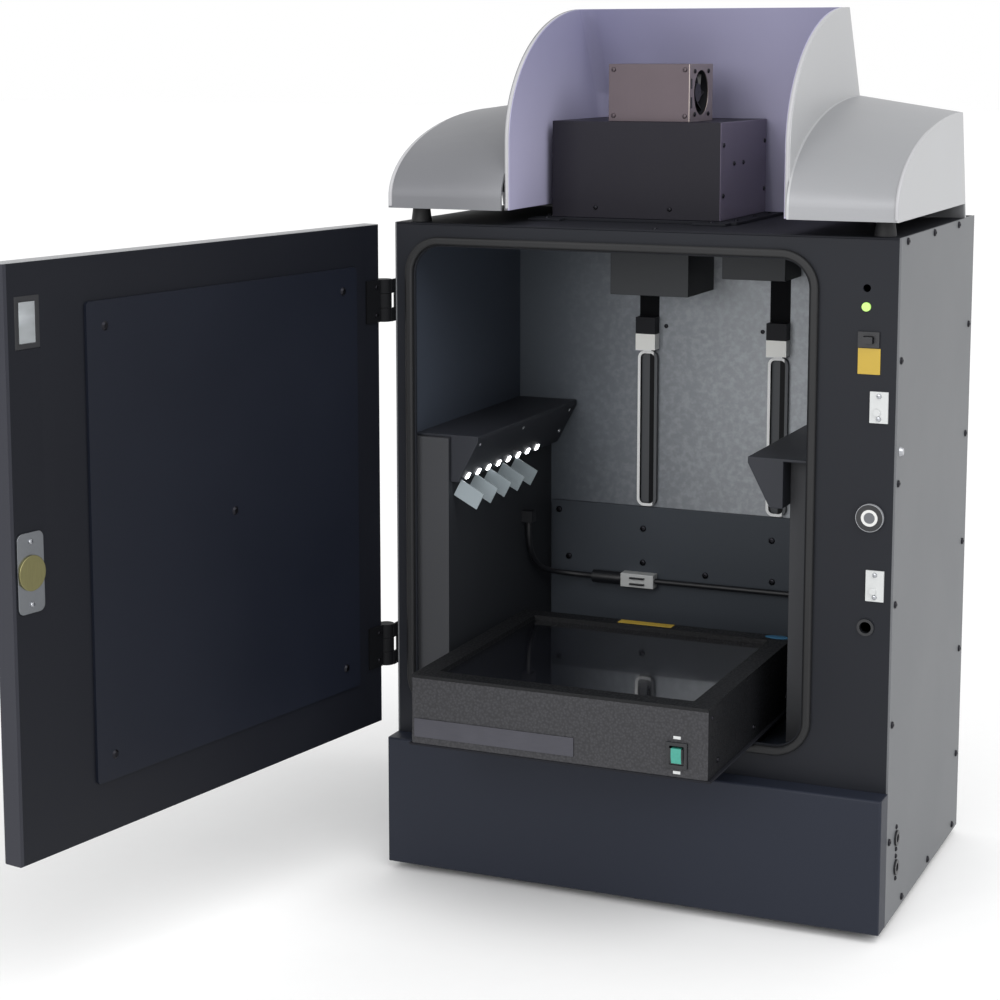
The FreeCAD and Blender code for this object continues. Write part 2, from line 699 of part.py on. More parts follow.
# Fittings on the front frame and the right side
def build_fittings():
    stem = rod("magnet_stem_rod", "magnet_stem", "y", ("magnet_x", "front", "latch_z"), "12")
    cup = rod("magnet_cup", "magnet_radius", "y", ("magnet_x", "front - magnet_proud", "latch_z"),
              "magnet_proud")
    finish(join("magnet_join", [stem, cup]), "door_magnet")
    pads = []
    for name, level in (("upper", "pad_top_z"), ("lower", "pad_low_z")):
        slab = box(f"{name}_slab", ("pad_x - pad_wide / 2", "pad_x + pad_wide / 2"),
                   ("front - pad_thick", "front"), (f"{level} - pad_tall / 2", f"{level} + pad_tall / 2"))
        button = rod(f"{name}_button", "pad_button", "y",
                     ("pad_x - pad_button / 2", "front - pad_thick * 1.8", f"{level} - pad_tall / 6"),
                     "pad_thick")
        pads.append(join(f"{name}_pad", [slab, button]))
    finish(group("pad_group", pads), "catch_plates")
    lamp = rod("lamp_barrel", "lamp_radius - screw_play", "y", ("lamp_x", "front - 2", "lamp_z"), "12")
    finish(lamp, "indicator_lamp")
    build_interlock()
    build_side_fittings()


def build_interlock():
    half_wide, half_tall = "bezel_wide / 2", "bezel_tall / 2"
    rim = box("bezel_rim", (f"plunger_x - {half_wide}", f"plunger_x + {half_wide}"),
              ("front - bezel_out", "front"), (f"plunger_z - {half_tall}", f"plunger_z + {half_tall}"))
    neck_wide, neck_tall = f"{half_wide} - bezel_out - screw_play", f"{half_tall} - bezel_out - screw_play"
    neck = box("bezel_neck", (f"plunger_x - ({neck_wide})", f"plunger_x + {neck_wide}"),
               ("front", "front + bezel_deep"),
               (f"plunger_z - ({neck_tall})", f"plunger_z + {neck_tall}"))
    bore_wide, bore_tall = "(plunger_wide / 2 + plunger_play)", "(plunger_tall / 2 + plunger_play)"
    bore = box("bezel_bore", (f"plunger_x - {bore_wide}", f"plunger_x + {bore_wide}"),
               ("front - plunger_out", "front + bezel_deep - wall"),
               (f"plunger_z - {bore_tall}", f"plunger_z + {bore_tall}"))
    finish(cut("bezel_cut", join("bezel_join", [rim, neck]), [bore]), "interlock_body")
    plunger = box("plunger_bar", ("plunger_x - plunger_wide / 2", "plunger_x + plunger_wide / 2"),
                  ("front - plunger_out", "front + bezel_deep - wall - 5"),
                  ("plunger_z - plunger_tall / 2", "plunger_z + plunger_tall / 2"))
    finish(plunger, "interlock_plunger")


def build_side_fittings():
    collar = rod("grommet_collar", "grommet_radius", "y", ("grommet_x", "front - wall", "grommet_z"), "wall")
    neck = rod("grommet_neck", "grommet_bore + 1", "y", ("grommet_x", "front", "grommet_z"),
               "frame_wall + wall")
    bore = rod("grommet_hole", "grommet_bore", "y", ("grommet_x", "front - wall - 1", "grommet_z"), "20")
    finish(cut("grommet_cut", join("grommet_join", [collar, neck]), [bore]), "cable_grommet")
    sockets = []
    for index, step in enumerate(("0", "socket_step")):
        level = f"socket_z + {step}"
        flange = rod(f"socket_flange_{index}", "socket_radius", "x",
                     ("east", "front + socket_y", level), "wall")
        barrel = rod(f"socket_barrel_{index}", "socket_body", "x",
                     ("east - socket_long", "front + socket_y", level), "socket_long")
        hole = rod(f"socket_hole_{index}", "socket_bore", "x",
                   ("east - socket_long + wall * 2", "front + socket_y", level), "socket_long")
        sockets.append(cut(f"socket_{index}", join(f"socket_join_{index}", [flange, barrel]), [hole]))
    finish(group("socket_group", sockets), "side_sockets")
    head = cone("stud_head", "stud_radius", "stud_radius * 0.7", "x",
                ("east", "front + stud_y", "stud_z"), "wall * 1.5")
    shank = rod("stud_shank", "screw_shank", "x", ("east - wall * 2", "front + stud_y", "stud_z"),
                "wall * 2")
    finish(join("stud_join", [head, shank]), "side_stud")


# Door: drawn closed, then swung open about the hinge pin
def swing(piece):
    turn = Rotation(Vector(0, 0, 1), -number("door_open"))
    piece.Placement = Placement(Vector(), turn, point("pin_x", "pin_y", "0"))
    return piece


def liner_screws():
    """Places of the inner plate's screws: one at each corner and one in the middle."""
    left, right = "liner_west + screw_inset", "liner_east - screw_inset"
    low, high = "liner_low + screw_inset", "liner_top - screw_inset"
    middle = ("(liner_west + liner_east) / 2", "(liner_low + liner_top) / 2")
    return [(left, low), (right, low), (right, high), (left, high), middle]


def build_door():
    shell = plate("door_body", "XZ_Plane", ("door_face", "door_back"),
                  (rectangle, "door_west", "door_east", "door_low", "door_top"))
    face = number("door_face")
    soften(shell, "door_round", lambda edge: at_level(edge, "Y", face))
    foot = (rectangle, "door_west + pan_hinge", "door_east - pan_free",
            "door_low + pan_top", "door_top - pan_top")
    crown = (rectangle, "door_west + pan_hinge + pan_rise", "door_east - pan_free - pan_slope",
             "door_low + pan_top + pan_slope", "door_top - pan_top - pan_slope")
    loft(shell, "XZ_Plane", "0 - (door_back)", foot, "0 - (pan_back)", crown)
    hole = "screw_shank + screw_play"
    pocket(shell, "XZ_Plane", ("pan_back - screw_rise * 3", "pan_back"),
           *[(circle, *spot, hole) for spot in liner_screws()])
    half_wide, half_high = "(window_wide / 2 + window_rim)", "(window_high / 2 + window_rim)"
    pocket(shell, "XZ_Plane", ("door_face + wall", "door_back - wall"),
           (rectangle, "door_west + wall", "door_east - wall", "door_low + wall", "door_top - wall"),
           (rectangle, f"window_x - {half_wide} - wall", f"window_x + {half_wide} + wall",
            f"window_z - {half_high} - wall", f"window_z + {half_high} + wall"))
    pocket(shell, "XZ_Plane", ("door_face", "door_back"),
           (rectangle, f"window_x - {half_wide}", f"window_x + {half_wide}",
            f"window_z - {half_high}", f"window_z + {half_high}"))
    swing(finish(shell, "door_shell"))
    liner = plate("liner_body", "XZ_Plane", ("pan_back", "liner_back"),
                  (rounded, "liner_west", "liner_east", "liner_low", "liner_top", "liner_round"),
                  *[(circle, *spot, hole) for spot in liner_screws()])
    swing(finish(liner, "door_inner_plate"))
    swing(finish(shaped("liner_screw_set", liner_screw_shape()), "inner_plate_screws"))
    build_window(half_wide, half_high)
    build_latch()
    build_handle()


def liner_screw_shape():
    screws = []
    back, rise = number("liner_back"), number("screw_rise")
    for across, up in liner_screws():
        seat = Vector(number(across), back, number(up))
        head = Part.makeCone(number("screw_head"), number("screw_head") * 0.6, rise, seat, Vector(0, 1, 0))
        grip = number("liner_thick + screw_rise * 2")
        shank = Part.makeCylinder(number("screw_shank"), grip, seat, Vector(0, -1, 0))
        screws.append(head.fuse(shank).removeSplitter())
    return Part.makeCompound(screws)


def build_window(half_wide, half_high):
    rim = plate("window_body", "XZ_Plane", ("door_face", "door_back"),
                (rectangle, f"window_x - {half_wide}", f"window_x + {half_wide}",
                 f"window_z - {half_high}", f"window_z + {half_high}"),
                (rectangle, "window_x - window_wide / 2", "window_x + window_wide / 2",
                 "window_z - window_high / 2", "window_z + window_high / 2"))
    swing(finish(rim, "window_frame"))
    pane = plate("pane_body", "XZ_Plane", ("door_back - pane_thick", "door_back"),
                 (rectangle, "window_x - window_wide / 2", "window_x + window_wide / 2",
                  "window_z - window_high / 2", "window_z + window_high / 2"))
    swing(finish(pane, "window_pane"))


def build_latch():
    base = plate("latch_body", "XZ_Plane", ("door_back", "latch_back"),
                 (rounded, "latch_x - latch_wide / 2", "latch_x + latch_wide / 2",
                  "latch_z - latch_high / 2", "latch_z + latch_high / 2", "latch_round"))
    swing(finish(base, "latch_plate"))
    disc = plate("disc_body", "XZ_Plane", ("latch_back", "latch_back + disc_thick"),
                 (circle, "magnet_x", "latch_z", "disc_radius"))
    face = number("latch_back + disc_thick")
    soften(disc, "disc_thick / 4", lambda edge: at_level(edge, "Y", face))
    swing(finish(disc, "armature_disc"))


def build_handle():
    west, east = "door_east - handle_in - handle_bar", "door_east - handle_in"
    low, high = "latch_z - handle_long / 2", "latch_z + handle_long / 2"
    out = "door_face - handle_out"
    inner = f"{out} + handle_bar"
    grip = plate("handle_body", "YZ_Plane", (west, east),
                 (polygon, ("door_face", low), (out, low), (out, high), ("door_face", high),
                  ("door_face", f"{high} - handle_bar"), (inner, f"{high} - handle_bar"),
                  (inner, f"{low} + handle_bar"), ("door_face", f"{low} + handle_bar")))
    face = number(out)
    soften(grip, "handle_bar / 3", lambda edge: at_level(edge, "Y", face))
    swing(finish(grip, "door_handle"))


# Hinges
def build_hinges():
    leaves, door_leaves, pins = [], [], []
    for index, middle in enumerate(("hinge_low", "hinge_top")):
        low, high = f"{middle} - knuckle_high / 2", f"{middle} + knuckle_high / 2"
        cut_low = f"{middle} - knuckle_share / 2 - knuckle_gap"
        cut_high = f"{middle} + knuckle_share / 2 + knuckle_gap"
        leaves.append(fixed_leaf(index, low, high, cut_low, cut_high))
        door_leaves.append(door_leaf(index, middle))
        pins.append(rod(f"pin_{index}", "pin_radius", "z", ("pin_x", "pin_y", low), "knuckle_high"))
    finish(group("leaf_group", leaves + pins), "hinge_fixed_leaves")
    finish(shaped("door_leaf_set", Part.makeCompound(door_leaves)), "hinge_door_leaves")
    swing(finished[-1])


def fixed_leaf(index, low, high, cut_low, cut_high):
    tall = f"({high}) - ({low})"
    barrel = rod(f"fixed_barrel_{index}", "knuckle_radius", "z", ("pin_x", "pin_y", low), tall)
    leaf = box(f"fixed_plate_{index}", ("west - leaf_thick", "west"),
               ("front - knuckle_radius / 2", "front + leaf_long"), (low, high))
    web = box(f"fixed_web_{index}", ("west - leaf_thick - 3", "west"),
              ("front - knuckle_radius", "front - knuckle_radius / 2"), (low, high))
    bore = rod(f"fixed_bore_{index}", "pin_radius + pin_play", "z", ("pin_x", "pin_y", f"{low} - 1"),
               f"{tall} + 2")
    gap = rod(f"fixed_gap_{index}", "knuckle_radius + leaf_thick + 0.5", "z", ("pin_x", "pin_y", cut_low),
              f"({cut_high}) - ({cut_low})")
    return cut(f"fixed_leaf_{index}", join(f"fixed_join_{index}", [barrel, leaf, web]), [bore, gap])


def door_leaf(index, middle):
    """Return the door's leaf as a shape, drawn with the door closed."""
    share, reach = number("knuckle_share"), number("leaf_long")
    centre = point("pin_x", "pin_y", f"{middle} - knuckle_share / 2")
    barrel = Part.makeCylinder(number("knuckle_radius"), share, centre)
    corner = Vector(centre.x, number("door_back"), centre.z)
    arm = Part.makeBox(reach, number("leaf_thick"), share, corner)
    spread = point("pin_x + knuckle_radius + 1", "door_back", f"{middle} - knuckle_high / 2")
    wing = Part.makeBox(reach - number("knuckle_radius") - 1, number("leaf_thick"),
                        number("knuckle_high"), spread)
    bore = Part.makeCylinder(number("pin_radius + pin_play"), share, centre)
    return barrel.fuse([arm, wing]).cut(bore).removeSplitter()


# Dark chamber and what is fixed in it
def build_chamber():
    wall = "wall"
    skin = [box("liner_floor", ("room_west", "room_east"), ("front + frame_wall", "room_back"),
                (f"room_low - {wall}", "room_low")),
            box("liner_roof", ("room_west", "room_east"), ("front + frame_wall", "room_back"),
                ("room_top", f"room_top + {wall}")),
            box("liner_west", (f"room_west - {wall}", "room_west"), ("front + frame_wall", "room_back"),
                (f"room_low - {wall}", f"room_top + {wall}")),
            box("liner_east", ("room_east", f"room_east + {wall}"), ("front + frame_wall", "room_back"),
                (f"room_low - {wall}", f"room_top + {wall}"))]
    port = rod("liner_port", "port_radius", "z", ("lens_x", "lens_y", "room_top - 1"), "wall + 2")
    finish(cut("liner_cut", join("liner_join", skin), [port]), "chamber_liner")
    back = box("back_sheet", (f"room_west - {wall}", f"room_east + {wall}"),
               ("room_back", f"room_back + {wall}"), (f"room_low - {wall}", f"room_top + {wall}"))
    finish(back, "chamber_back_wall")
    boxes = [box_cover("left", ("room_west", "room_west + box_wide"), "front + box_front"),
             box_cover("right", ("room_east - box_right", "room_east"), "front + box_front_right")]
    finish(group("box_group", boxes), "ballast_boxes")
    service = box("service_sheet", ("room_west + service_left + 1", "room_east - service_right - 1"),
                  ("room_back - service_thick", "room_back"), ("room_low", "room_low + service_high"))
    finish(service, "service_panel")
    supply = box("supply_case", ("room_east + wall * 3", "room_east + wall * 3 + supply_wide"),
                 ("front + 60", "front + 60 + supply_deep"),
                 ("foot_high + wall", "foot_high + wall + supply_tall"))
    finish(supply, "power_supply")
    build_overhead()
    build_upright_lamps()


def box_cover(side, x_span, near):
    """A folded cover with a front, a top and one side, against the chamber's wall and floor."""
    case = box(f"cover_{side}", x_span, (near, "room_back"), ("room_low", "box_top"))
    west, east = x_span
    hollow = (f"{west} - 1", f"{east} - wall") if side == "left" else (f"{west} + wall", f"{east} + 1")
    room = box(f"cover_{side}_room", hollow, (f"{near} + wall", "room_back + 1"),
               ("room_low - 1", "box_top - wall"))
    return cut(f"cover_{side}_cut", case, [room])


def build_overhead():
    boxes, panes = [], []
    for side in ("left", "right"):
        middle, half = f"over_{side}_x", f"over_{side}_wide / 2"
        case = box(f"over_{side}_case", (f"{middle} - {half}", f"{middle} + {half}"),
                   (f"room_back - over_{side}_deep", "room_back"),
                   (f"room_top - over_{side}_tall", "room_top"))
        inside = ((f"{middle} - {half} + wall", f"{middle} + {half} - wall"),
                  (f"room_back - over_{side}_deep + wall", "room_back - wall"))
        low = f"room_top - over_{side}_tall"
        room = box(f"over_{side}_room", *inside, (f"{low} - 1", "room_top - wall"))
        boxes.append(cut(f"over_{side}", case, [room]))
        panes.append(box(f"over_{side}_pane", *inside, (f"{low} + wall", f"{low} + wall * 2")))
    finish(group("over_group", boxes), "overhead_lamp_boxes")
    finish(group("pane_group", panes), "lamp_diffusers")


def build_upright_lamps():
    frames, caps = [], []
    for side in ("left", "right"):
        middle = f"slot_{side}_x"
        body = new_body(f"upright_{side}")
        pad(body, "XZ_Plane", ("room_back - slot_thick", "room_back"),
            (rounded, f"{middle} - slot_wide / 2", f"{middle} + slot_wide / 2",
             "slot_low", "slot_low + slot_high", "slot_round"))
        pocket(body, "XZ_Plane", ("room_back - slot_thick", "room_back - 1"),
               (rounded, f"{middle} - slot_wide / 2 + slot_rim", f"{middle} + slot_wide / 2 - slot_rim",
                "slot_low + slot_rim", "slot_low + slot_high - slot_rim", "slot_round - slot_rim"))
        frames.append(body)
        caps.append(box(f"cap_{side}", (f"{middle} - slot_wide / 2", f"{middle} + slot_wide / 2"),
                        ("room_back - cap_thick", "room_back"),
                        ("slot_low + slot_high + 1", "slot_low + slot_high + 1 + cap_tall")))
    finish(group("upright_group", frames + caps), "upright_lamps")


# Side lamps, with their vanes
def lamp_section(side):
    """Corners, across and up, of a side lamp housing seen from the front."""
    wall_x = "room_west" if side == "left" else "room_east"
    sign = "+" if side == "left" else "-"
    width = "box_wide" if side == "left" else "box_right"
    lid, under = "box_top + housing_lid", "box_top - housing_drop"
    return [(wall_x, "box_top"), (wall_x, lid), (f"{wall_x} {sign} housing_wide", lid),
            (f"{wall_x} {sign} housing_wide", "box_top - housing_nose"),
            (f"{wall_x} {sign} (housing_wide - housing_foot)", under),
            (f"{wall_x} {sign} {width}", under), (f"{wall_x} {sign} {width}", "box_top")]


def build_side_lamps():
    housings, leds = [], []
    for side in ("left", "right"):
        housings.append(plate(f"lamp_{side}", "XZ_Plane", ("front + housing_front", "room_back - wall"),
                              (polygon, *lamp_section(side))))
        leds.extend(led_row(side))
    finish(group("lamp_group", housings), "side_lamp_housings")
    finish(shaped("led_set", Part.makeCompound(leds)), "side_lamps")
    finish(shaped("vane_set", Part.makeCompound(vane_row())), "reflector_vanes")


def lamp_slope(side):
    """Return the lowest edge of a side housing's sloping face, its direction and the way it faces."""
    corners = [(number(across), number(up)) for across, up in lamp_section(side)]
    nose, foot = corners[3], corners[4]
    slope = Vector(foot[0] - nose[0], 0, foot[1] - nose[1])
    slope.normalize()
    outward = Vector(slope.z, 0, -slope.x) if side == "right" else Vector(-slope.z, 0, slope.x)
    return Vector(foot[0], 0, foot[1]), slope, outward


def led_row(side):
    """Square lamps in a row along the sloping face of a side housing."""
    foot, slope, outward = lamp_slope(side)
    size, thick = number("led_size"), number("led_thick")
    row = []
    for index in range(int(number("led_count"))):
        into = number(f"front + led_front + led_pitch * {index}")
        base = foot - slope * number("led_rise") + Vector(0, into, 0)
        edges = [base + slope * (size / 2 * a) + Vector(0, size / 2 * b, 0)
                 for a, b in ((-1, -1), (1, -1), (1, 1), (-1, 1))]
        face = Part.Face(Part.makePolygon([*edges, edges[0]]))
        row.append(face.extrude(outward * thick))
    return row


def vane_row():
    """Slats that stand out from the left housing's lowest edge, below its lamps."""
    foot, slope, outward = lamp_slope("left")
    wide, tall = number("vane_wide"), number("vane_tall")
    row = []
    for index in range(int(number("vane_count"))):
        into = number(f"front + vane_front + vane_pitch * {index}")
        base = foot - slope * number("vane_grip") + Vector(0, into, 0)
        corners = [base, base + outward * wide, base + outward * wide + slope * tall, base + slope * tall]
        face = Part.Face(Part.makePolygon([*corners, base]))
        row.append(face.extrude(Vector(0, number("vane_thick"), 0)))
    return row


# Lamp lead: straight runs joined by tangent arcs, held along the chamber's left box and back
LEAD_POINTS = (
    (-195.0, 46.0, 322.0),
    (-195.0, 46.0, 308.0),
    (-195.0, 50.0, 291.0),
    (-194.5, 62.0, 275.5),
    (-193.0, 80.0, 263.5),
    (-187.0, 99.0, 256.5),
    (-174.0, 111.0, 253.0),
    (-157.0, 114.5, 252.0),
    (-146.0, 114.5, 252.0),
)
LEAD_SHARE = 0.45


def lead_wire(points):
    """Join the points by straight runs, with an arc at each as large as its runs allow."""
    spots = [Vector(*spot) for spot in points]
    edges, start = [], spots[0]
    for before, corner, after in zip(spots, spots[1:], spots[2:]):
        back, ahead = (before - corner), (after - corner)
        run = min(back.Length, ahead.Length)
        back.normalize()
        ahead.normalize()
        turn = math.pi - back.getAngle(ahead)
        if turn < 0.001:
            continue
        reach = LEAD_SHARE * run
        radius = reach / math.tan(turn / 2)
        first, last = corner + back * reach, corner + ahead * reach
        inward = back + ahead
        inward.normalize()
        centre = corner + inward * math.hypot(radius, reach)
        middle = centre - inward * radius
        edges.append(Part.LineSegment(start, first).toShape())
        edges.append(Part.Arc(first, middle, last).toShape())
        print("lead radius", round(radius, 1))
        start = last
    edges.append(Part.LineSegment(start, spots[-1]).toShape())
    return Part.Wire(edges)


def lead_tube(points):
    path = lead_wire(points)
    start = Vector(*points[0])
    ahead = Vector(*points[1]) - start
    ring = Part.Wire(Part.makeCircle(number("lead_radius"), start, ahead))
    tube = path.makePipeShell([ring], True, True)
    expected = math.pi * number("lead_radius") ** 2 * path.Length
    print("lead volume", round(tube.Volume), "expected", round(expected), "length", round(path.Length))
    return tube


def build_lead():
    finish(shaped("lead_run", lead_tube(LEAD_POINTS)), "lamp_lead")
    across, into, up = LEAD_POINTS[-1]
    plug = rod("plug_barrel", "plug_radius", "x", (across, into, "lead_z"), "plug_long")
    x_low = f"{across} + plug_long"
    terminal = box("terminal_bar", (x_low, f"{x_low} + terminal_long"),
                   ("room_back - service_thick - terminal_deep", "room_back - service_thick"),
                   ("lead_z - terminal_tall / 2", "lead_z + terminal_tall / 2"))
    finish(terminal, "terminal_block")
    tail = rod("tail_run", "lead_radius", "x", (f"{x_low} + terminal_long", into, "lead_z"),
               f"room_east - box_right - ({x_low} + terminal_long)")
    finish(tail, "terminal_tail")
    x_clip, y_clip, z_clip = LEAD_POINTS[0]
    clip = box("clip_block", ("room_west + box_wide", "room_west + box_wide + clip_size"),
               (f"{y_clip} - clip_size / 2", f"{y_clip} + clip_size / 2"),
               (z_clip, f"{z_clip} + clip_size"))
    finish(group("lead_fitting_group", [plug, clip]), "lead_fittings")


# Illuminator on its slide
def rail_places():
    return [("left", "lit_left + rail_inset"), ("right", "lit_east - rail_inset")]


def build_tray():
    tray = box("tray_sheet", ("lit_left - tray_lip", "lit_east + tray_lip"), ("lit_front", "lit_back"),
               ("tray_low", "lit_low"))
    rails, carriages = [], []
    for side, middle in rail_places():
        rail_high = "rail_top"
        block = box(f"rail_{side}_block", (f"{middle} - rail_wide / 2", f"{middle} + rail_wide / 2"),
                    ("front + frame_wall + rail_front", "room_back - service_thick - 1"),
                    ("room_low", rail_high))
        groove = box(f"rail_{side}_groove",
                     (f"{middle} - carriage_wide / 2 - carriage_play",
                      f"{middle} + carriage_wide / 2 + carriage_play"),
                     ("front", "room_back"), ("room_low + rail_wall", f"{rail_high} + 1"))
        rails.append(cut(f"rail_{side}", block, [groove]))
        carriages.append(box(f"carriage_{side}",
                             (f"{middle} - carriage_wide / 2", f"{middle} + carriage_wide / 2"),
                             ("front + carriage_front", "front + carriage_front + carriage_long"),
                             ("room_low + rail_wall + carriage_play", "tray_low")))
    finish(group("rail_group", rails), "slide_rails")
    finish(group("tray_group", [tray, *carriages]), "slide_tray")


def build_illuminator():
    case = box("lit_case", ("lit_left", "lit_east"), ("lit_front", "lit_back"),
               ("lit_low", "lit_top - lit_rim_thick"))
    room = box("lit_room", ("lit_left + lit_wall", "lit_east - lit_wall"),
               ("lit_front + lit_wall", "lit_back - lit_wall"), ("lit_low + lit_wall", "lit_top"))
    hole = box("lit_switch_hole", switch_span("x", "switch_play"),
               ("lit_front - 1", "lit_front + lit_wall + 1"), switch_span("z", "switch_play"))
    finish(cut("lit_cut", case, [room, hole]), "illuminator_housing")
    filter_top = "lit_top - lit_step"
    rim = plate("rim_body", "XY_Plane", ("lit_top - lit_rim_thick", "lit_top"),
                (rectangle, "lit_left", "lit_east", "lit_front", "lit_back"),
                (rounded, "lit_left + lit_rim", "lit_east - lit_rim", "lit_front + lit_rim",
                 "lit_back - lit_rim", "lit_rim_thick"))
    skirt = ("lit_top - lit_step", "lit_top - lit_rim_thick")
    pad(rim, "XY_Plane", skirt,
        (rectangle, "lit_left + lit_wall + 0.3", "lit_east - lit_wall - 0.3",
         "lit_front + lit_wall + 0.3", "lit_back - lit_wall - 0.3"),
        (rectangle, "lit_left + lit_rim", "lit_east - lit_rim", "lit_front + lit_rim",
         "lit_back - lit_rim"))
    finish(rim, "illuminator_rim")
    lap = "(lit_rim - filter_lap)"
    glass = box("filter_pane", (f"lit_left + {lap}", f"lit_east - {lap}"),
                (f"lit_front + {lap}", f"lit_back - {lap}"), (f"{filter_top} - filter_thick", filter_top))
    finish(glass, "filter_glass")
    build_tubes(f"{filter_top} - filter_thick")
    build_switch()


def build_tubes(ceiling):
    tubes, across = [], "(lit_left + lit_east) / 2"
    middle = "(lit_front + lit_back) / 2"
    level = "lit_low + lit_wall + tube_radius * 2"
    count = int(number("tube_count"))
    for index in range(count):
        into = f"{middle} + ({index} - {(count - 1) / 2}) * tube_pitch"
        tubes.append(rod(f"tube_{index}", "tube_radius", "x", (f"{across} - tube_long / 2", into, level),
                         "tube_long"))
    bars = []
    for name, start in (("left", f"{across} - tube_long / 2 - holder_thick"),
                        ("right", f"{across} + tube_long / 2")):
        bars.append(box(f"holder_{name}", (start, f"{start} + holder_thick"),
                        ("lit_front + lit_rim", "lit_back - lit_rim"), ("lit_low + lit_wall", ceiling)))
    finish(group("tube_group", tubes + bars), "uv_tubes")


def switch_span(axis, grow):
    middle, size = ("switch_x", "switch_wide") if axis == "x" else ("switch_z", "switch_tall")
    half = f"({size} / 2 + switch_rim + {grow})"
    return f"{middle} - {half}", f"{middle} + {half}"


def build_switch():
    rim = box("switch_rim_box", switch_span("x", "1"), ("lit_front - switch_out", "lit_front"),
              switch_span("z", "1"))
    body = box("switch_case", switch_span("x", "0"), ("lit_front", "lit_front + switch_deep"),
               switch_span("z", "0"))
    room = box("switch_room", ("switch_x - switch_wide / 2 - switch_play",
                               "switch_x + switch_wide / 2 + switch_play"),
               ("lit_front - switch_out - 1", "lit_front + switch_deep - 2"),
               ("switch_z - switch_tall / 2 - switch_play", "switch_z + switch_tall / 2 + switch_play"))
    axle = rod("switch_axle", "axle_radius", "x",
               ("switch_x - switch_wide / 2 - switch_play - 1", "lit_front + 4", "switch_z"),
               "switch_wide + switch_play * 2 + 2")
    shell = cut("switch_cut", join("switch_join", [rim, body]), [room])
    finish(join("switch_whole", [shell, axle]), "switch_bezel")
    finish(shaped("rocker_shape", rocker_shape()), "rocker_switch")


def rocker_shape():
    """A rocker with two faces that meet at its axle, tipped to one side."""
    wide, tall, tilt = number("switch_wide"), number("switch_tall"), number("rocker_tilt")
    out, drop = number("switch_out") + 1.5, 5.0
    half = tall / 2 - 0.9
    axle = point("switch_x - switch_wide / 2", "lit_front + 4", "switch_z")
    bend = math.tan(math.radians(tilt / 2)) * half
    outline = [(-out - 4, 0), (-out - 4 + bend, half), (drop - 4, half - 1), (drop - 1, 0),
               (drop - 4, 1 - half), (-out - 4 + bend, -half)]
    wire = Part.makePolygon([Vector(0, y, z) for y, z in [*outline, outline[0]]])
    solid = Part.Face(wire).extrude(Vector(wide, 0, 0))
    bore = Part.makeCylinder(number("axle_radius + axle_play"), wide, Vector(), Vector(1, 0, 0))
    solid = solid.cut(bore)
    solid.rotate(Vector(), Vector(1, 0, 0), tilt / 2)
    solid.translate(axle)
    return solid


# Camera box, with the lens and filter wheel inside
def build_camera():
    base = plate("flange_body", "XY_Plane", ("top", "cam_low"),
                 (rectangle, "cam_left - flange_out", "cam_east + flange_out",
                  "cam_y - flange_deep", "cam_rear + flange_deep"),
                 (circle, "lens_x", "lens_y", "port_radius"))
    spindle = rod("wheel_spindle", "spindle_radius", "z", ("wheel_x", "lens_y", "cam_low"),
                  "wheel_lift * 2 + wheel_thick")
    finish(join("base_join", [base, spindle]), "camera_base_plate")
    case = box("cam_case", ("cam_left", "cam_east"), ("cam_y", "cam_rear"), ("cam_low", "cam_top"))
    room = box("cam_room", ("cam_left + cam_wall", "cam_east - cam_wall"),
               ("cam_y + cam_wall", "cam_rear - cam_wall"), ("cam_low - 1", "cam_top - cam_wall"))
    finish(cut("cam_cut", case, [room]), "camera_housing")
    build_wheel()
    build_bridge()


def build_wheel():
    wheel = plate("wheel_body", "XY_Plane", ("wheel_low", "wheel_low + wheel_thick"),
                  (circle, "wheel_x", "lens_y", "wheel_radius"),
                  (circle, "wheel_x", "lens_y", "spindle_radius + spindle_play"),
                  *filter_holes())
    pad(wheel, "XY_Plane", ("wheel_low", "wheel_low + wheel_thick + wheel_lift / 2"),
        (circle, "wheel_x", "lens_y", "wheel_hub"),
        (circle, "wheel_x", "lens_y", "spindle_radius + spindle_play"))
    finish(wheel, "filter_wheel")


def filter_holes():
    holes = []
    for index in range(int(number("filter_count"))):
        angle = f"(180 + {index} * 360 / filter_count)"
        holes.append((circle, f"wheel_x + wheel_off * cos({angle} * 1deg)",
                      f"lens_y + wheel_off * sin({angle} * 1deg)", "filter_radius"))
    return holes


def build_bridge():
    depth = ("lens_y - bridge_deep / 2", "lens_y + bridge_deep / 2")
    deck = box("bridge_deck", ("bridge_west", "bridge_east"), depth,
               ("bridge_low", "bridge_low + bridge_thick"))
    legs = [box(f"bridge_leg_{side}", (start, f"{start} + bridge_thick"), depth, ("cam_low", "bridge_low"))
            for side, start in (("west", "bridge_west"), ("east", "bridge_east - bridge_thick"))]
    hole = rod("bridge_hole", "lens_radius + lens_play", "z", ("lens_x", "lens_y", "bridge_low - 1"),
               "bridge_thick + 2")
    finish(cut("bridge_cut", join("bridge_join", [deck, *legs]), [hole]), "camera_bridge")
    barrel = rod("lens_barrel_rod", "lens_radius", "z", ("lens_x", "lens_y", "bridge_low - lens_drop"),
                 "lens_drop + bridge_thick + 2")
    flange = rod("lens_flange_rod", "lens_flange", "z", ("lens_x", "lens_y", "bridge_low + bridge_thick"),
                 "3")
    ring = rod("lens_ring", "lens_radius + 2", "z", ("lens_x", "lens_y", "bridge_low - lens_drop + 4"), "8")
    lens = join("lens_join", [barrel, flange, ring])
    body = box("camera_case", ("lens_x - body_size / 2", "lens_x + body_size / 2"),
               ("lens_y - body_size / 2", "lens_y + body_size / 2"),
               ("bridge_low + bridge_thick + 3", "bridge_low + bridge_thick + 3 + camera_high"))
    finish(group("camera_group", [lens, body]), "camera_body")


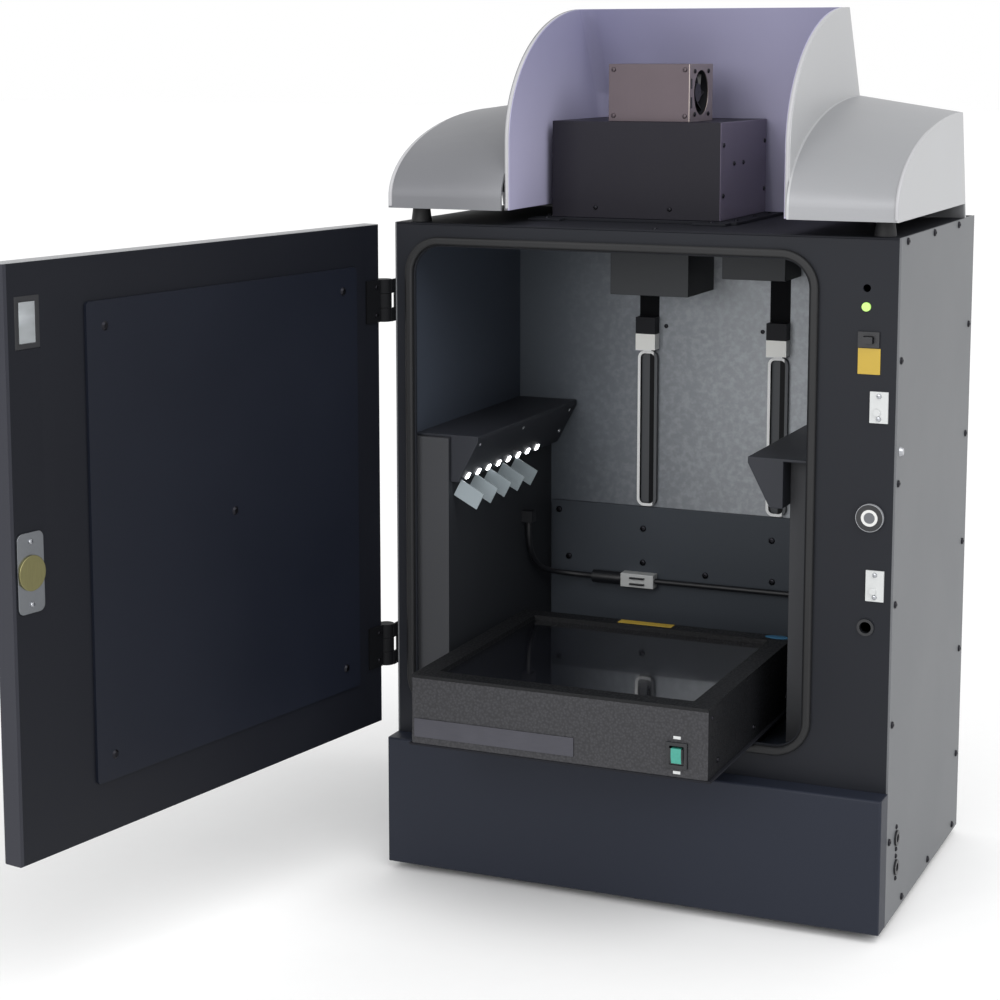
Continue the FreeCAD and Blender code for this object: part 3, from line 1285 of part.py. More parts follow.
# Fan box on the camera box
def build_fan():
    case = box("fan_case", ("fan_west", "fan_east"), ("fan_front", "fan_rear"), ("cam_top", "fan_top"))
    room = box("fan_room", ("fan_west + fan_wall", "fan_east - fan_wall"),
               ("fan_front + fan_wall", "fan_rear - fan_wall"),
               ("cam_top + fan_wall", "fan_top - fan_wall"))
    mouth = rod("fan_mouth", "fan_radius", "x", ("fan_east - fan_wall - 1", "fan_y", "fan_z"),
                "fan_wall + 2")
    finish(cut("fan_cut", case, [room, mouth]), "fan_housing")
    build_fan_frame()
    finish(shaped("rotor_shape", rotor_shape()), "fan_rotor")


def build_fan_frame():
    start = "fan_east - fan_wall - fan_thick"
    square = box("fan_square", (start, "fan_east - fan_wall"),
                 ("fan_y - fan_size / 2", "fan_y + fan_size / 2"),
                 ("fan_z - fan_size / 2", "fan_z + fan_size / 2"))
    bore = rod("fan_bore", "fan_radius + fan_gap", "x", (f"{start} - 1", "fan_y", "fan_z"), "fan_thick + 2")
    ring = cut("fan_ring", square, [bore])
    spokes = [box("spoke_up", (start, f"{start} + spider_wide"),
                  ("fan_y - spider_wide / 2", "fan_y + spider_wide / 2"),
                  ("fan_z - fan_radius - 2", "fan_z + fan_radius + 2")),
              box("spoke_over", (start, f"{start} + spider_wide"),
                  ("fan_y - fan_radius - 2", "fan_y + fan_radius + 2"),
                  ("fan_z - spider_wide / 2", "fan_z + spider_wide / 2"))]
    shaft = rod("fan_shaft", "shaft_radius", "x", (start, "fan_y", "fan_z"), "fan_thick - 2")
    finish(join("fan_frame_join", [ring, *spokes, shaft]), "fan_frame")


def rotor_shape():
    """A hub with swept blades, each lofted from the hub to the tip with less pitch outside."""
    hub, tip = number("fan_hub"), number("fan_radius")
    deep, thick, count = number("blade_deep"), number("blade_thick"), int(number("fan_blades"))
    start = number("fan_east - fan_wall - fan_thick + spider_wide + 0.6")
    long = deep + 1.5
    body = Part.makeCylinder(hub, long, Vector(start, 0, 0), Vector(1, 0, 0))
    for index in range(count):
        sections = []
        for radius, sweep, pitch in ((hub - 1, 0, 42), (tip, number("blade_turn") / 2, 26)):
            sections.append(blade_section(radius, sweep, pitch, start + long / 2, deep, thick))
        blade = Part.makeLoft(sections, True, True)
        blade.rotate(Vector(), Vector(1, 0, 0), index * 360 / count)
        body = body.fuse(blade)
    bore = Part.makeCylinder(number("shaft_radius + shaft_play"), long + 2, Vector(start - 1, 0, 0),
                             Vector(1, 0, 0))
    body = body.cut(bore)
    body.translate(Vector(0, number("fan_y"), number("fan_z")))
    return body


def blade_section(radius, sweep, pitch, middle, deep, thick):
    lean = math.radians(pitch)
    across = deep / 2 * math.tan(lean)
    corners = []
    for along, side in ((-1, -1), (1, -1), (1, 1), (-1, 1)):
        over = along * across + side * thick / 2
        corners.append(Vector(middle + along * deep / 2 * 0.94, over, radius))
    wire = Part.makePolygon([*corners, corners[0]])
    wire.rotate(Vector(), Vector(1, 0, 0), sweep)
    return wire


# Hood: a moulded cover with two low shoulders and a tall hump that is open to the front
def back_at(level):
    """Depth of the hood's back below its bend, at a height."""
    return number("knee_y") + (number("knee_z") - level) * number("hood_lean") / number("hood_knee")


def side_wire(across, front, spring, back, crest, inset=0.0):
    """Outline seen from the side: upright front, elliptical rise, then a back that leans."""
    low = number("hood_low") - (CUT_ROOM if inset else 0)
    nose = Vector(across, number(front) + inset, number(spring))
    peak = Vector(across, number(back) - inset, number(crest) - inset)
    centre = Vector(across, peak.y, nose.z)
    ends = sorted((nose, peak), key=lambda end: end.distanceToPoint(centre), reverse=True)
    rise = Part.ArcOfEllipse(Part.Ellipse(*ends, centre), 0, math.pi / 2).toShape()
    corners = [peak, Vector(across, back_at(low) - inset, low), Vector(across, nose.y, low), nose]
    if peak.z > number("knee_z"):
        corners.insert(1, Vector(across, number("knee_y") - inset, number("knee_z")))
    sides = [Part.makeLine(here, there) for here, there in zip(corners, corners[1:])]
    return Part.Wire(Part.__sortEdges__([rise, *sides]))


def shoulder(outer_x, inner_x, inset=0.0):
    """One low shoulder, which rises from the hood's end to the hump."""
    front, spring = "front - hood_front", "hood_low + hood_upright"
    end = side_wire(outer_x, front, spring, "cheek_y", "cheek_z", inset)
    root = side_wire(inner_x, front, spring, "knee_y", "knee_z", inset)
    return Part.makeLoft([end, root], True, True)


def hump(west, east):
    sizes = ("front - hump_front", "hood_low + hump_spring", "hump_top_y", "hump_top_z")
    return Part.Face(side_wire(west, *sizes)).extrude(Vector(east - west, 0, 0))


def bay_space(inset, west, east, bend, low):
    """Room of the bay: open to the front, with a back that leans in two steps and round corners."""
    foot, knee = back_at(low) - inset, number("knee_y") - inset
    near = number("front - hood_back")
    plan = [Vector(west, near, low), Vector(east, near, low), Vector(east, foot - bend, low),
            Vector(east - bend, foot, low), Vector(west + bend, foot, low), Vector(west, foot - bend, low)]
    edges = [Part.makeLine(plan[index - 1], plan[index]) for index in (0, 1, 2, 4)]
    half = bend * (1 - math.sqrt(0.5))
    edges.append(Part.Arc(plan[2], Vector(east - half, foot - half, low), plan[3]).toShape())
    edges.append(Part.Arc(plan[4], Vector(west + half, foot - half, low), plan[5]).toShape())
    face = Part.Face(Part.Wire(Part.__sortEdges__(edges)))
    knee_up = Vector(0, knee - foot, number("knee_z") - low)
    lower = face.extrude(knee_up)
    face.translate(knee_up)
    rise = number("hump_top_z - knee_z")
    above = rise + number("bumper_high")
    upper = face.extrude(Vector(0, number("hump_top_y - knee_y") / rise * above, above))
    return lower.fuse(upper).removeSplitter()


def back_skirt(west, east, wall):
    """Strip of the back wall below the hood's rim, down to the cabinet's top."""
    high, low = number("hood_low"), number("skirt_low")
    corners = [Vector(west, back_at(high), high), Vector(west, back_at(low), low),
               Vector(west, back_at(low) - wall, low), Vector(west, back_at(high) - wall, high)]
    return Part.Face(Part.makePolygon([*corners, corners[0]])).extrude(Vector(east - west, 0, 0))


def bumper_shelves(west, east, wall):
    """Ledges inside the shoulders that rest on the two front bumpers."""
    reach, half, middle = number("bumper_inset + bumper_tip"), number("bumper_tip"), number("bumper_inset")
    near, low = number("front") + middle - half, number("hood_low")
    return [Part.makeBox(reach - wall / 2, 2 * half, wall, Vector(start, near, low))
            for start in (west + wall / 2, east - reach)]


def build_hood():
    wall, lining, fit = number("hood_wall"), number("bay_wall"), number("bay_fit")
    west, east, low = number("west"), number("east"), number("skirt_low")
    bay_west, bay_east, bend = number("bay_left"), number("bay_left + bay_wide"), number("bay_round")
    hump_west, hump_east = bay_west - lining - wall, bay_east + lining + wall
    shell = hump(hump_west, hump_east).fuse([shoulder(west, hump_west), shoulder(east, hump_east)])
    hollows = [shoulder(west + wall, hump_west, wall), shoulder(east - wall, hump_east, wall)]
    shell = shell.cut(hollows).fuse([back_skirt(west, east, wall), *bumper_shelves(west, east, wall)])
    shell = shell.cut(bay_space(wall, bay_west - lining, bay_east + lining, bend + lining, low - CUT_ROOM))
    finish(shaped("hood_shape", shell.removeSplitter()), "hood_shell")
    skin = bay_space(wall + fit, bay_west - lining + fit, bay_east + lining - fit, bend + lining - fit, low)
    room = bay_space(wall + lining, bay_west, bay_east, bend, low - CUT_ROOM)
    reach = bend + lining + wall
    foot = Part.makeBox(bay_east - bay_west + 2 * lining, reach, number("hood_low") - low,
                        Vector(bay_west - lining, back_at(low) - reach, low))
    within = hump(bay_west - lining, bay_east + lining).fuse(foot)
    finish(shaped("lining_shape", skin.cut(room).common(within).removeSplitter()), "hood_bay_lining")


def check_and_write():
    doc.recompute()
    for piece in doc.Objects:
        if {"Invalid", "Error"} & set(piece.State):
            raise RuntimeError(f"{piece.Name} failed: {piece.State}")
    os.makedirs("parts", exist_ok=True)
    for piece in finished:
        shape = piece.Shape
        if shape.isNull() or not shape.isValid() or not shape.Solids:
            raise RuntimeError(f"{piece.Label} has no sound solid")
        shape.exportStep(os.path.join("parts", piece.Label + ".step"))
    print(len(finished), "nodes written")


fill_sheet()
build_cabinet()
build_fittings()
build_door()
build_hinges()
build_chamber()
build_side_lamps()
build_lead()
build_tray()
build_illuminator()
build_camera()
build_fan()
build_hood()
check_and_write()
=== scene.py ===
"""Gel documentation system: finishes, small fittings, lights and camera.

Lengths in the dataclasses are millimetres in the cabinet's own frame: the origin is the centre
of the footprint on the bench, +X is right of someone facing the door, +Y goes into the cabinet
and +Z is up. Blender's own units are metres, so every place passes through metres().
"""

import json
import logging
import math
from dataclasses import dataclass, field
from enum import Enum
from typing import Dict, Iterable, List, Optional, Sequence, Tuple

import bpy
from mathutils import Matrix, Vector

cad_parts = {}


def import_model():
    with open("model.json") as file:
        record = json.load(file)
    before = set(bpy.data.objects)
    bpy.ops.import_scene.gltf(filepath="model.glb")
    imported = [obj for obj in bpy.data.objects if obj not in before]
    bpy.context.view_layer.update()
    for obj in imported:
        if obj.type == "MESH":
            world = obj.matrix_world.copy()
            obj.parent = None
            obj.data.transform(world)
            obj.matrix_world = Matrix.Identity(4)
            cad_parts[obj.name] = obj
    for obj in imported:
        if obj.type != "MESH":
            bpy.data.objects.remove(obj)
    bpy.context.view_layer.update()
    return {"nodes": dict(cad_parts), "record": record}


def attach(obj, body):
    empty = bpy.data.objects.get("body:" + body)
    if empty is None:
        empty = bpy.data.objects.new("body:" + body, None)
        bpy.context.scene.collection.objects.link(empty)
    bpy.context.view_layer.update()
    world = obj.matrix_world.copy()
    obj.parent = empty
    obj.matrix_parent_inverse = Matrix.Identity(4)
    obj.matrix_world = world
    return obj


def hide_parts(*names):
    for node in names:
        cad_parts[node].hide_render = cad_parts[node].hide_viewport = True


LOG = logging.getLogger("gel_cabinet")

Colour = Tuple[float, float, float]
Point = Tuple[float, float, float]
Pairs = Sequence[Tuple[float, float]]

MM = 0.001
FULL_TONE = 255
SMOOTH_ANGLE = math.radians(40)
SHARP_ANGLE = math.radians(35)
BEAD_ANGLE = math.radians(50)
FLAT_ANGLE = math.radians(1.0)
WELD_DISTANCE = 1e-6
BEAD_STEPS = 32
CABINET_TOP = 658.5
HINGE_HEIGHTS = (231, 581)
BLACK_POTTING = (28, 29, 32)
PALE_RING = (214, 214, 212)
GREY_CORE = (96, 98, 102)
ROCKER_BLACK = (22, 23, 27)
COLLAR_WHITE = (244, 244, 240)
CONNECTOR_BLACK = (27, 28, 32)
SLOT_BLACK = (12, 13, 16)
TUBE_GREY = (84, 86, 89)
FRAME_SHADE = (96, 98, 101)


class Body(str, Enum):
    """The rigid bodies that pieces ride on."""

    CABINET = "cabinet"
    DOOR = "door"
    TRAY = "tray"
    HOOD = "hood"


class Facing(Enum):
    """The way a fastener's head looks, as a turn of a head that looks up."""

    UP = Matrix.Identity(4)
    RIGHT = Matrix.Rotation(math.radians(90), 4, "Y")
    LEFT = Matrix.Rotation(math.radians(-90), 4, "Y")
    FRONT = Matrix.Rotation(math.radians(90), 4, "X")
    BACK = Matrix.Rotation(math.radians(-90), 4, "X")
    SLOPE = Matrix.Rotation(math.radians(117.6), 4, "Y")


def metres(point: Sequence[float]) -> Vector:
    """Return a place in millimetres as a vector in metres."""
    return Vector(point) * MM


def linear_part(part: float) -> float:
    """Return one display channel, from 0 to 1, as a linear one by the sRGB curve."""
    return part / 12.92 if part <= 0.04045 else ((part + 0.055) / 1.055) ** 2.4


def linear(colour: Sequence[float]) -> Tuple[float, float, float, float]:
    """Turn a display colour into the linear one that shaders take.

    Args:
        colour: Red, green and blue from 0 to 255.

    Returns:
        Linear red, green and blue from 0 to 1, and an alpha of 1.
    """
    red, green, blue = (linear_part(value / FULL_TONE) for value in colour)
    return (red, green, blue, 1.0)


# Shader graphs


class Signal:
    """A node's output that takes part in sums written as Python expressions."""

    def __init__(self, graph: "Graph", socket: bpy.types.NodeSocket) -> None:
        """Keep the graph and the output socket."""
        self.graph = graph
        self.socket = socket

    def _sum(self, operation: str, first: object, second: object) -> "Signal":
        """Add one Math node."""
        return self.graph.node("ShaderNodeMath", {"operation": operation}, {0: first, 1: second})

    def __add__(self, other: object) -> "Signal":
        """Return self + other."""
        return self._sum("ADD", self, other)

    def __sub__(self, other: object) -> "Signal":
        """Return self - other."""
        return self._sum("SUBTRACT", self, other)

    def __rsub__(self, other: object) -> "Signal":
        """Return other - self."""
        return self._sum("SUBTRACT", other, self)

    def __mul__(self, other: object) -> "Signal":
        """Return self * other."""
        return self._sum("MULTIPLY", self, other)

    def __gt__(self, other: object) -> "Signal":
        """Return 1 where self is above other, and 0 elsewhere."""
        return self._sum("GREATER_THAN", self, other)

    def __lt__(self, other: object) -> "Signal":
        """Return 1 where self is below other, and 0 elsewhere."""
        return self._sum("LESS_THAN", self, other)


class Graph:
    """One material's node tree, built node by node."""

    def __init__(self, name: str) -> None:
        """Start an empty material.

        Args:
            name: The material's name.
        """
        self.material = bpy.data.materials.new(name)
        self.material.use_nodes = True
        self.tree = self.material.node_tree
        self.tree.nodes.clear()

    def node(self, kind: str, settings: Optional[Dict[str, object]] = None,
             inputs: Optional[Dict[object, object]] = None, output: object = 0) -> Signal:
        """Add a node.

        Args:
            kind: The node's type.
            settings: Its properties, which are set first.
            inputs: Values or signals by input name or number.
            output: The name or number of the output to return.

        Returns:
            The chosen output.
        """
        made = self.tree.nodes.new(kind)
        for key, value in (settings or {}).items():
            setattr(made, key, value)
        for key, value in (inputs or {}).items():
            if isinstance(value, Signal):
                self.tree.links.new(value.socket, made.inputs[key])
            else:
                made.inputs[key].default_value = value
        return Signal(self, made.outputs[output])

    def place(self) -> Signal:
        """Return the object coordinates, which are the cabinet's frame in metres."""
        return self.node("ShaderNodeTexCoord", output="Object")

    def axis(self, letter: str) -> Signal:
        """Return one of the object coordinates by its letter."""
        return self.node("ShaderNodeSeparateXYZ", {}, {0: self.place()}, letter)

    def noise(self, scale: float, detail: float = 2.0, stretch: Point = (1, 1, 1)) -> Signal:
        """Return a noise from 0 to 1.

        Args:
            scale: Features per metre.
            detail: Octaves.
            stretch: Factor on each axis, below 1 for streaks along it.

        Returns:
            The noise value.
        """
        spread = self.node("ShaderNodeVectorMath", {"operation": "MULTIPLY"},
                           {0: self.place(), 1: stretch})
        return self.node("ShaderNodeTexNoise", {},
                         {"Vector": spread, "Scale": scale, "Detail": detail})

    def cells(self, scale: float) -> Signal:
        """Return the distance to the nearest of scattered points, for blisters and pits."""
        return self.node("ShaderNodeTexVoronoi", {"feature": "SMOOTH_F1"},
                         {"Vector": self.place(), "Scale": scale, "Smoothness": 0.6}, "Distance")

    def ramp(self, value: Signal, low: float, high: float) -> Signal:
        """Spread the stretch from low to high of a value over 0 to 1."""
        return self.node("ShaderNodeMapRange", {"interpolation_type": "SMOOTHSTEP"},
                         {"Value": value, "From Min": low, "From Max": high})

    def mix(self, factor: object, first: object, second: object) -> Signal:
        """Mix two colours."""
        return self.node("ShaderNodeMix", {"data_type": "RGBA"},
                         {0: factor, 6: first, 7: second}, 2)

    def bump(self, height: Signal, strength: float, distance: float) -> Signal:
        """Return a normal that rises with a height.

        Args:
            height: The height from 0 to 1.
            strength: How strong the effect is.
            distance: What a height of 1 stands for, in metres.

        Returns:
            The normal.
        """
        return self.node("ShaderNodeBump", {},
                         {"Height": height, "Strength": strength, "Distance": distance})

    def close(self, inputs: Dict[object, object]) -> bpy.types.Material:
        """Add the shader and the output.

        Args:
            inputs: Values or signals for the shader's sockets.

        Returns:
            The finished material.
        """
        shader = self.node("ShaderNodeBsdfPrincipled", {}, inputs)
        end = self.tree.nodes.new("ShaderNodeOutputMaterial")
        self.tree.links.new(shader.socket, end.inputs["Surface"])
        return self.material


# Finishes


@dataclass(frozen=True)
class Face:
    """A face that is toned apart from the rest of its piece, told by one coordinate in metres."""

    axis: str
    low: float
    high: float
    colour: Colour


@dataclass(frozen=True)
class Finish:
    """A surface that can make its own material."""

    name: str
    colour: Colour
    roughness: float = 0.5
    faces: Tuple[Face, ...] = field(default=(), kw_only=True)

    def tones(self, graph: Graph, amount: Signal, depth: float) -> Signal:
        """Vary the colour about its own value, and about each apart face's value on that face.

        Args:
            graph: The material's graph.
            amount: Where the colour is light, from 0 to 1.
            depth: How far it varies, as a share of its value.

        Returns:
            The varied colour.
        """
        tone = self._varied(graph, self.colour, amount, depth)
        for face in self.faces:
            along = graph.axis(face.axis)
            inside = (along > face.low) * (along < face.high)
            tone = graph.mix(inside, tone, self._varied(graph, face.colour, amount, depth))
        return tone

    @staticmethod
    def _varied(graph: Graph, colour: Colour, amount: Signal, depth: float) -> Signal:
        """Mix a darker and a lighter shade of one colour."""
        dark = linear([value * (1 - depth) for value in colour])
        light = linear([min(FULL_TONE, value * (1 + depth)) for value in colour])
        return graph.mix(amount, dark, light)

    def material(self) -> bpy.types.Material:
        """Make the material."""
        raise NotImplementedError


@dataclass(frozen=True)
class Paint(Finish):
    """Sprayed sheet metal with orange peel and a little dust."""

    peel: float = 0.12
    cloud: float = 0.05
    gloss: float = 0.28

    def material(self) -> bpy.types.Material:
        """Make the paint, cloudy over hand widths and pebbled at a millimetre."""
        graph = Graph(self.name)
        cloud = graph.noise(7.0, 4.0)
        grain = graph.noise(850.0, 2.0)
        colour = self.tones(graph, cloud * 0.7 + grain * 0.3, self.cloud)
        return graph.close({
            "Base Color": colour,
            "Roughness": (cloud - 0.5) * 0.16 + self.roughness,
            "Specular IOR Level": self.gloss,
            "Normal": graph.bump(grain, self.peel, 0.0003),
        })


@dataclass(frozen=True)
class Hammertone(Finish):
    """Stove enamel that sets in shallow dimples."""

    pitch: float = 430.0

    def material(self) -> bpy.types.Material:
        """Make dimples a few millimetres wide, lighter in the middle."""
        graph = Graph(self.name)
        dimple = graph.ramp(graph.cells(self.pitch), 0.05, 0.75)
        colour = self.tones(graph, 1.0 - dimple, 0.11)
        return graph.close({
            "Base Color": colour,
            "Roughness": dimple * 0.2 + (self.roughness - 0.08),
            "Metallic": 0.1,
            "Specular IOR Level": 0.3,
            "Normal": graph.bump(dimple, 0.35, 0.0004),
        })


@dataclass(frozen=True)
class Speckled(Finish):
    """Grey sheet with a cloudy, mottled coating, and painted shade that darkens it towards the
    hinge side.
    """

    # painted shade: the darker colour, and where it is full and where it ends across the width
    shaded_wall_colour: Colour = (76, 82, 90)
    shade_full_x: float = -0.22
    shade_end_x: float = 0.06

    def material(self) -> bpy.types.Material:
        """Make faint blotches a few millimetres wide over a fine speckle, with painted shade
        towards the hinge side.
        """
        graph = Graph(self.name)
        blotch = graph.ramp(graph.noise(170.0, 3.0), 0.35, 0.75)
        speck = graph.noise(520.0, 2.0)
        even = self.tones(graph, blotch * 0.7 + speck * 0.3, 0.08)
        # painted shade: the colour runs from the darker shade colour at the hinge side to the even
        # colour towards the middle
        unshaded = graph.ramp(graph.axis("X") + (blotch - 0.5) * 0.012, self.shade_full_x, self.shade_end_x)
        colour = graph.mix(unshaded, linear(self.shaded_wall_colour), even)
        return graph.close({
            "Base Color": colour,
            "Roughness": blotch * 0.08 + (self.roughness - 0.04),
            "Metallic": 0.25,
            "Normal": graph.bump(speck, 0.18, 0.0003),
        })


@dataclass(frozen=True)
class Metal(Finish):
    """Bare or plated metal with fine scratches along one axis."""

    streak: Point = (0.04, 1.0, 1.0)
    depth: float = 0.12

    def material(self) -> bpy.types.Material:
        """Make long hairline scratches and a faint tarnish."""
        graph = Graph(self.name)
        hair = graph.noise(1500.0, 2.0, self.streak)
        tarnish = graph.noise(28.0, 3.0)
        colour = self.tones(graph, hair * 0.5 + tarnish * 0.5, self.depth)
        return graph.close({
            "Base Color": colour,
            "Metallic": 1.0,
            "Roughness": hair * 0.14 + (self.roughness - 0.07),
            "Normal": graph.bump(hair, 0.12, 0.0001),
        })


@dataclass(frozen=True)
class Moulding(Finish):
    """Moulded plastic or rubber with a sanded grain."""

    grain: float = 0.16
    pitch: float = 1400.0
    cloud: float = 0.04

    def material(self) -> bpy.types.Material:
        """Make an even colour over a fine grain."""
        graph = Graph(self.name)
        grain = graph.noise(self.pitch, 2.0)
        flow = graph.noise(11.0, 3.0)
        return graph.close({
            "Base Color": self.tones(graph, flow * 0.75 + grain * 0.25, self.cloud),
            "Roughness": (flow - 0.5) * 0.12 + self.roughness,
            "Normal": graph.bump(grain, self.grain, 0.0002),
        })


@dataclass(frozen=True)
class PaintedShadeSkin(Finish):
    """Moulded skin with painted shade that darkens it towards one upper corner."""

    painted_shade_colour: Colour = (130, 129, 160)

    def material(self) -> bpy.types.Material:
        """Make painted shade that deepens upwards and towards the hinge side."""
        graph = Graph(self.name)
        # painted shade: darker towards the top and the hinge side
        height = graph.ramp(graph.axis("Z"), 0.70, 0.88)
        side = graph.ramp(graph.axis("X"), 0.08, -0.14)
        amount = height * 0.55 + side * 0.35
        flow = graph.noise(14.0, 3.0)
        grain = graph.noise(1300.0, 2.0)
        share = amount + (flow - 0.5) * 0.08
        blend = graph.mix(share, linear(self.colour), linear(self.painted_shade_colour))
        return graph.close({
            "Base Color": blend,
            "Roughness": (flow - 0.5) * 0.1 + self.roughness,
            "Normal": graph.bump(grain, 0.08, 0.0002),
        })


@dataclass(frozen=True)
class SilverSkin(Finish):
    """Metallic silver lacquer on a moulding, with painted shade that darkens it towards the hinge
    side.
    """

    painted_shade_colour: Colour = (112, 113, 117)

    def material(self) -> bpy.types.Material:
        """Make the lacquer with flake in it, and painted shade that deepens across the width
        towards the hinge side.
        """
        graph = Graph(self.name)
        # painted shade: darker towards the hinge side
        side = graph.ramp(graph.axis("X"), 0.02, -0.2)
        flake = graph.noise(1700.0, 2.0)
        flow = graph.noise(9.0, 3.0)
        base = self.tones(graph, flake * 0.5 + flow * 0.5, 0.04)
        return graph.close({
            "Base Color": graph.mix(side, base, linear(self.painted_shade_colour)),
            "Metallic": 0.25,
            "Roughness": (flow - 0.5) * 0.1 + self.roughness,
            "Normal": graph.bump(flake, 0.08, 0.0002),
        })


@dataclass(frozen=True)
class Glass(Finish):
    """Polished glass plate, dark or tinted, seen mostly by what it reflects."""

    alpha: float = 1.0

    def material(self) -> bpy.types.Material:
        """Make a glossy plate with faint wipe marks."""
        graph = Graph(self.name)
        wipe = graph.ramp(graph.noise(22.0, 4.0, (1.0, 0.35, 1.0)), 0.35, 0.75)
        return graph.close({
            "Base Color": self.tones(graph, wipe, 0.2),
            "Roughness": wipe * 0.08 + self.roughness,
            "Alpha": self.alpha,
            "Coat Weight": 0.6,
            "Coat Roughness": 0.03,
        })


@dataclass(frozen=True)
class Lens(Finish):
    """Small lamp lens that glows a little."""

    glow: float = 0.3

    def material(self) -> bpy.types.Material:
        """Make a milky lens with its own faint light."""
        graph = Graph(self.name)
        milk = graph.noise(300.0, 2.0)
        colour = self.tones(graph, milk, 0.06)
        return graph.close({
            "Base Color": colour,
            "Roughness": milk * 0.1 + self.roughness,
            "Emission Color": colour,
            "Emission Strength": self.glow,
            "Coat Weight": 0.5,
        })


@dataclass(frozen=True)
class RingedFace(Finish):
    """Round holding magnet: a grey core and a pale ring in a black potting compound."""

    centre: Point = (0.231, 0.0, 0.4)
    core: float = 0.0052
    ring: float = 0.0078
    potting: float = 0.0125

    def material(self) -> bpy.types.Material:
        """Choose the colour by the distance from the magnet's axis."""
        graph = Graph(self.name)
        flat = graph.node("ShaderNodeVectorMath", {"operation": "MULTIPLY"},
                          {0: graph.place(), 1: (1, 0, 1)})
        away = graph.node("ShaderNodeVectorMath", {"operation": "DISTANCE"},
                          {0: flat, 1: self.centre}, "Value")
        grain = graph.noise(900.0, 2.0)
        rim = self.tones(graph, grain, 0.1)
        black = graph.mix(away < self.potting, rim, linear(BLACK_POTTING))
        pale = graph.mix(away < self.ring, black, linear(PALE_RING))
        return graph.close({
            "Base Color": graph.mix(away < self.core, pale, linear(GREY_CORE)),
            "Roughness": grain * 0.15 + self.roughness,
            "Normal": graph.bump(grain, 0.12, 0.0002),
        })


@dataclass(frozen=True)
class RockerFace(Finish):
    """Black rocker with a tinted window in its middle."""

    centre: Point = (0.094, 0.0, 0.197)
    half_wide: float = 0.0048
    half_high: float = 0.0072

    def material(self) -> bpy.types.Material:
        """Choose the tint inside the window's width and height."""
        graph = Graph(self.name)
        across = graph.axis("X") - self.centre[0]
        up = graph.axis("Z") - self.centre[2]
        inside = ((across < self.half_wide) * (across > -self.half_wide)
                  * (up < self.half_high) * (up > -self.half_high))
        milk = graph.noise(400.0, 2.0)
        return graph.close({
            "Base Color": graph.mix(inside, linear(ROCKER_BLACK), self.tones(graph, milk, 0.08)),
            "Roughness": milk * 0.1 + self.roughness,
            "Normal": graph.bump(milk, 0.05, 0.0001),
        })


@dataclass(frozen=True)
class UprightLampSkin(Finish):
    """White frame round a grey tube in a black slot, below a white collar and a connector."""

    collar_z: float = 0.507
    cap_z: float = 0.524
    lens_y: float = 0.1205
    tubes: Tuple[float, float] = (-0.0905, 0.0555)
    tube_half: float = 0.0045
    frame_right: float = 0.0135
    frame_half: float = 0.003

    def material(self) -> bpy.types.Material:
        """Choose the colour by height, and by depth in the slot."""
        graph = Graph(self.name)
        height = graph.axis("Z")
        grain = graph.noise(900.0, 2.0)
        body = self.tones(graph, grain, 0.05)
        collar = graph.mix(height > self.collar_z, body, linear(COLLAR_WHITE))
        cap = graph.mix(height > self.cap_z, collar, linear(CONNECTOR_BLACK))
        below = height < self.collar_z
        inside = (graph.axis("Y") > self.lens_y) * below
        slot = graph.mix(inside, cap, linear(SLOT_BLACK))
        for middle in self.tubes:
            across = graph.axis("X") - middle
            tube = (across > -self.tube_half) * (across < self.tube_half)
            slot = graph.mix(tube * inside, slot, linear(TUBE_GREY))
            from_edge = self.frame_right - self.frame_half
            to_edge = self.frame_right + self.frame_half
            edge = (across > from_edge) * (across < to_edge)
            slot = graph.mix(edge * below, slot, linear(FRAME_SHADE))
        return graph.close({
            "Base Color": slot,
            "Roughness": grain * 0.12 + self.roughness,
            "Specular IOR Level": 0.15,
            "Normal": graph.bump(grain, 0.1, 0.0002),
        })


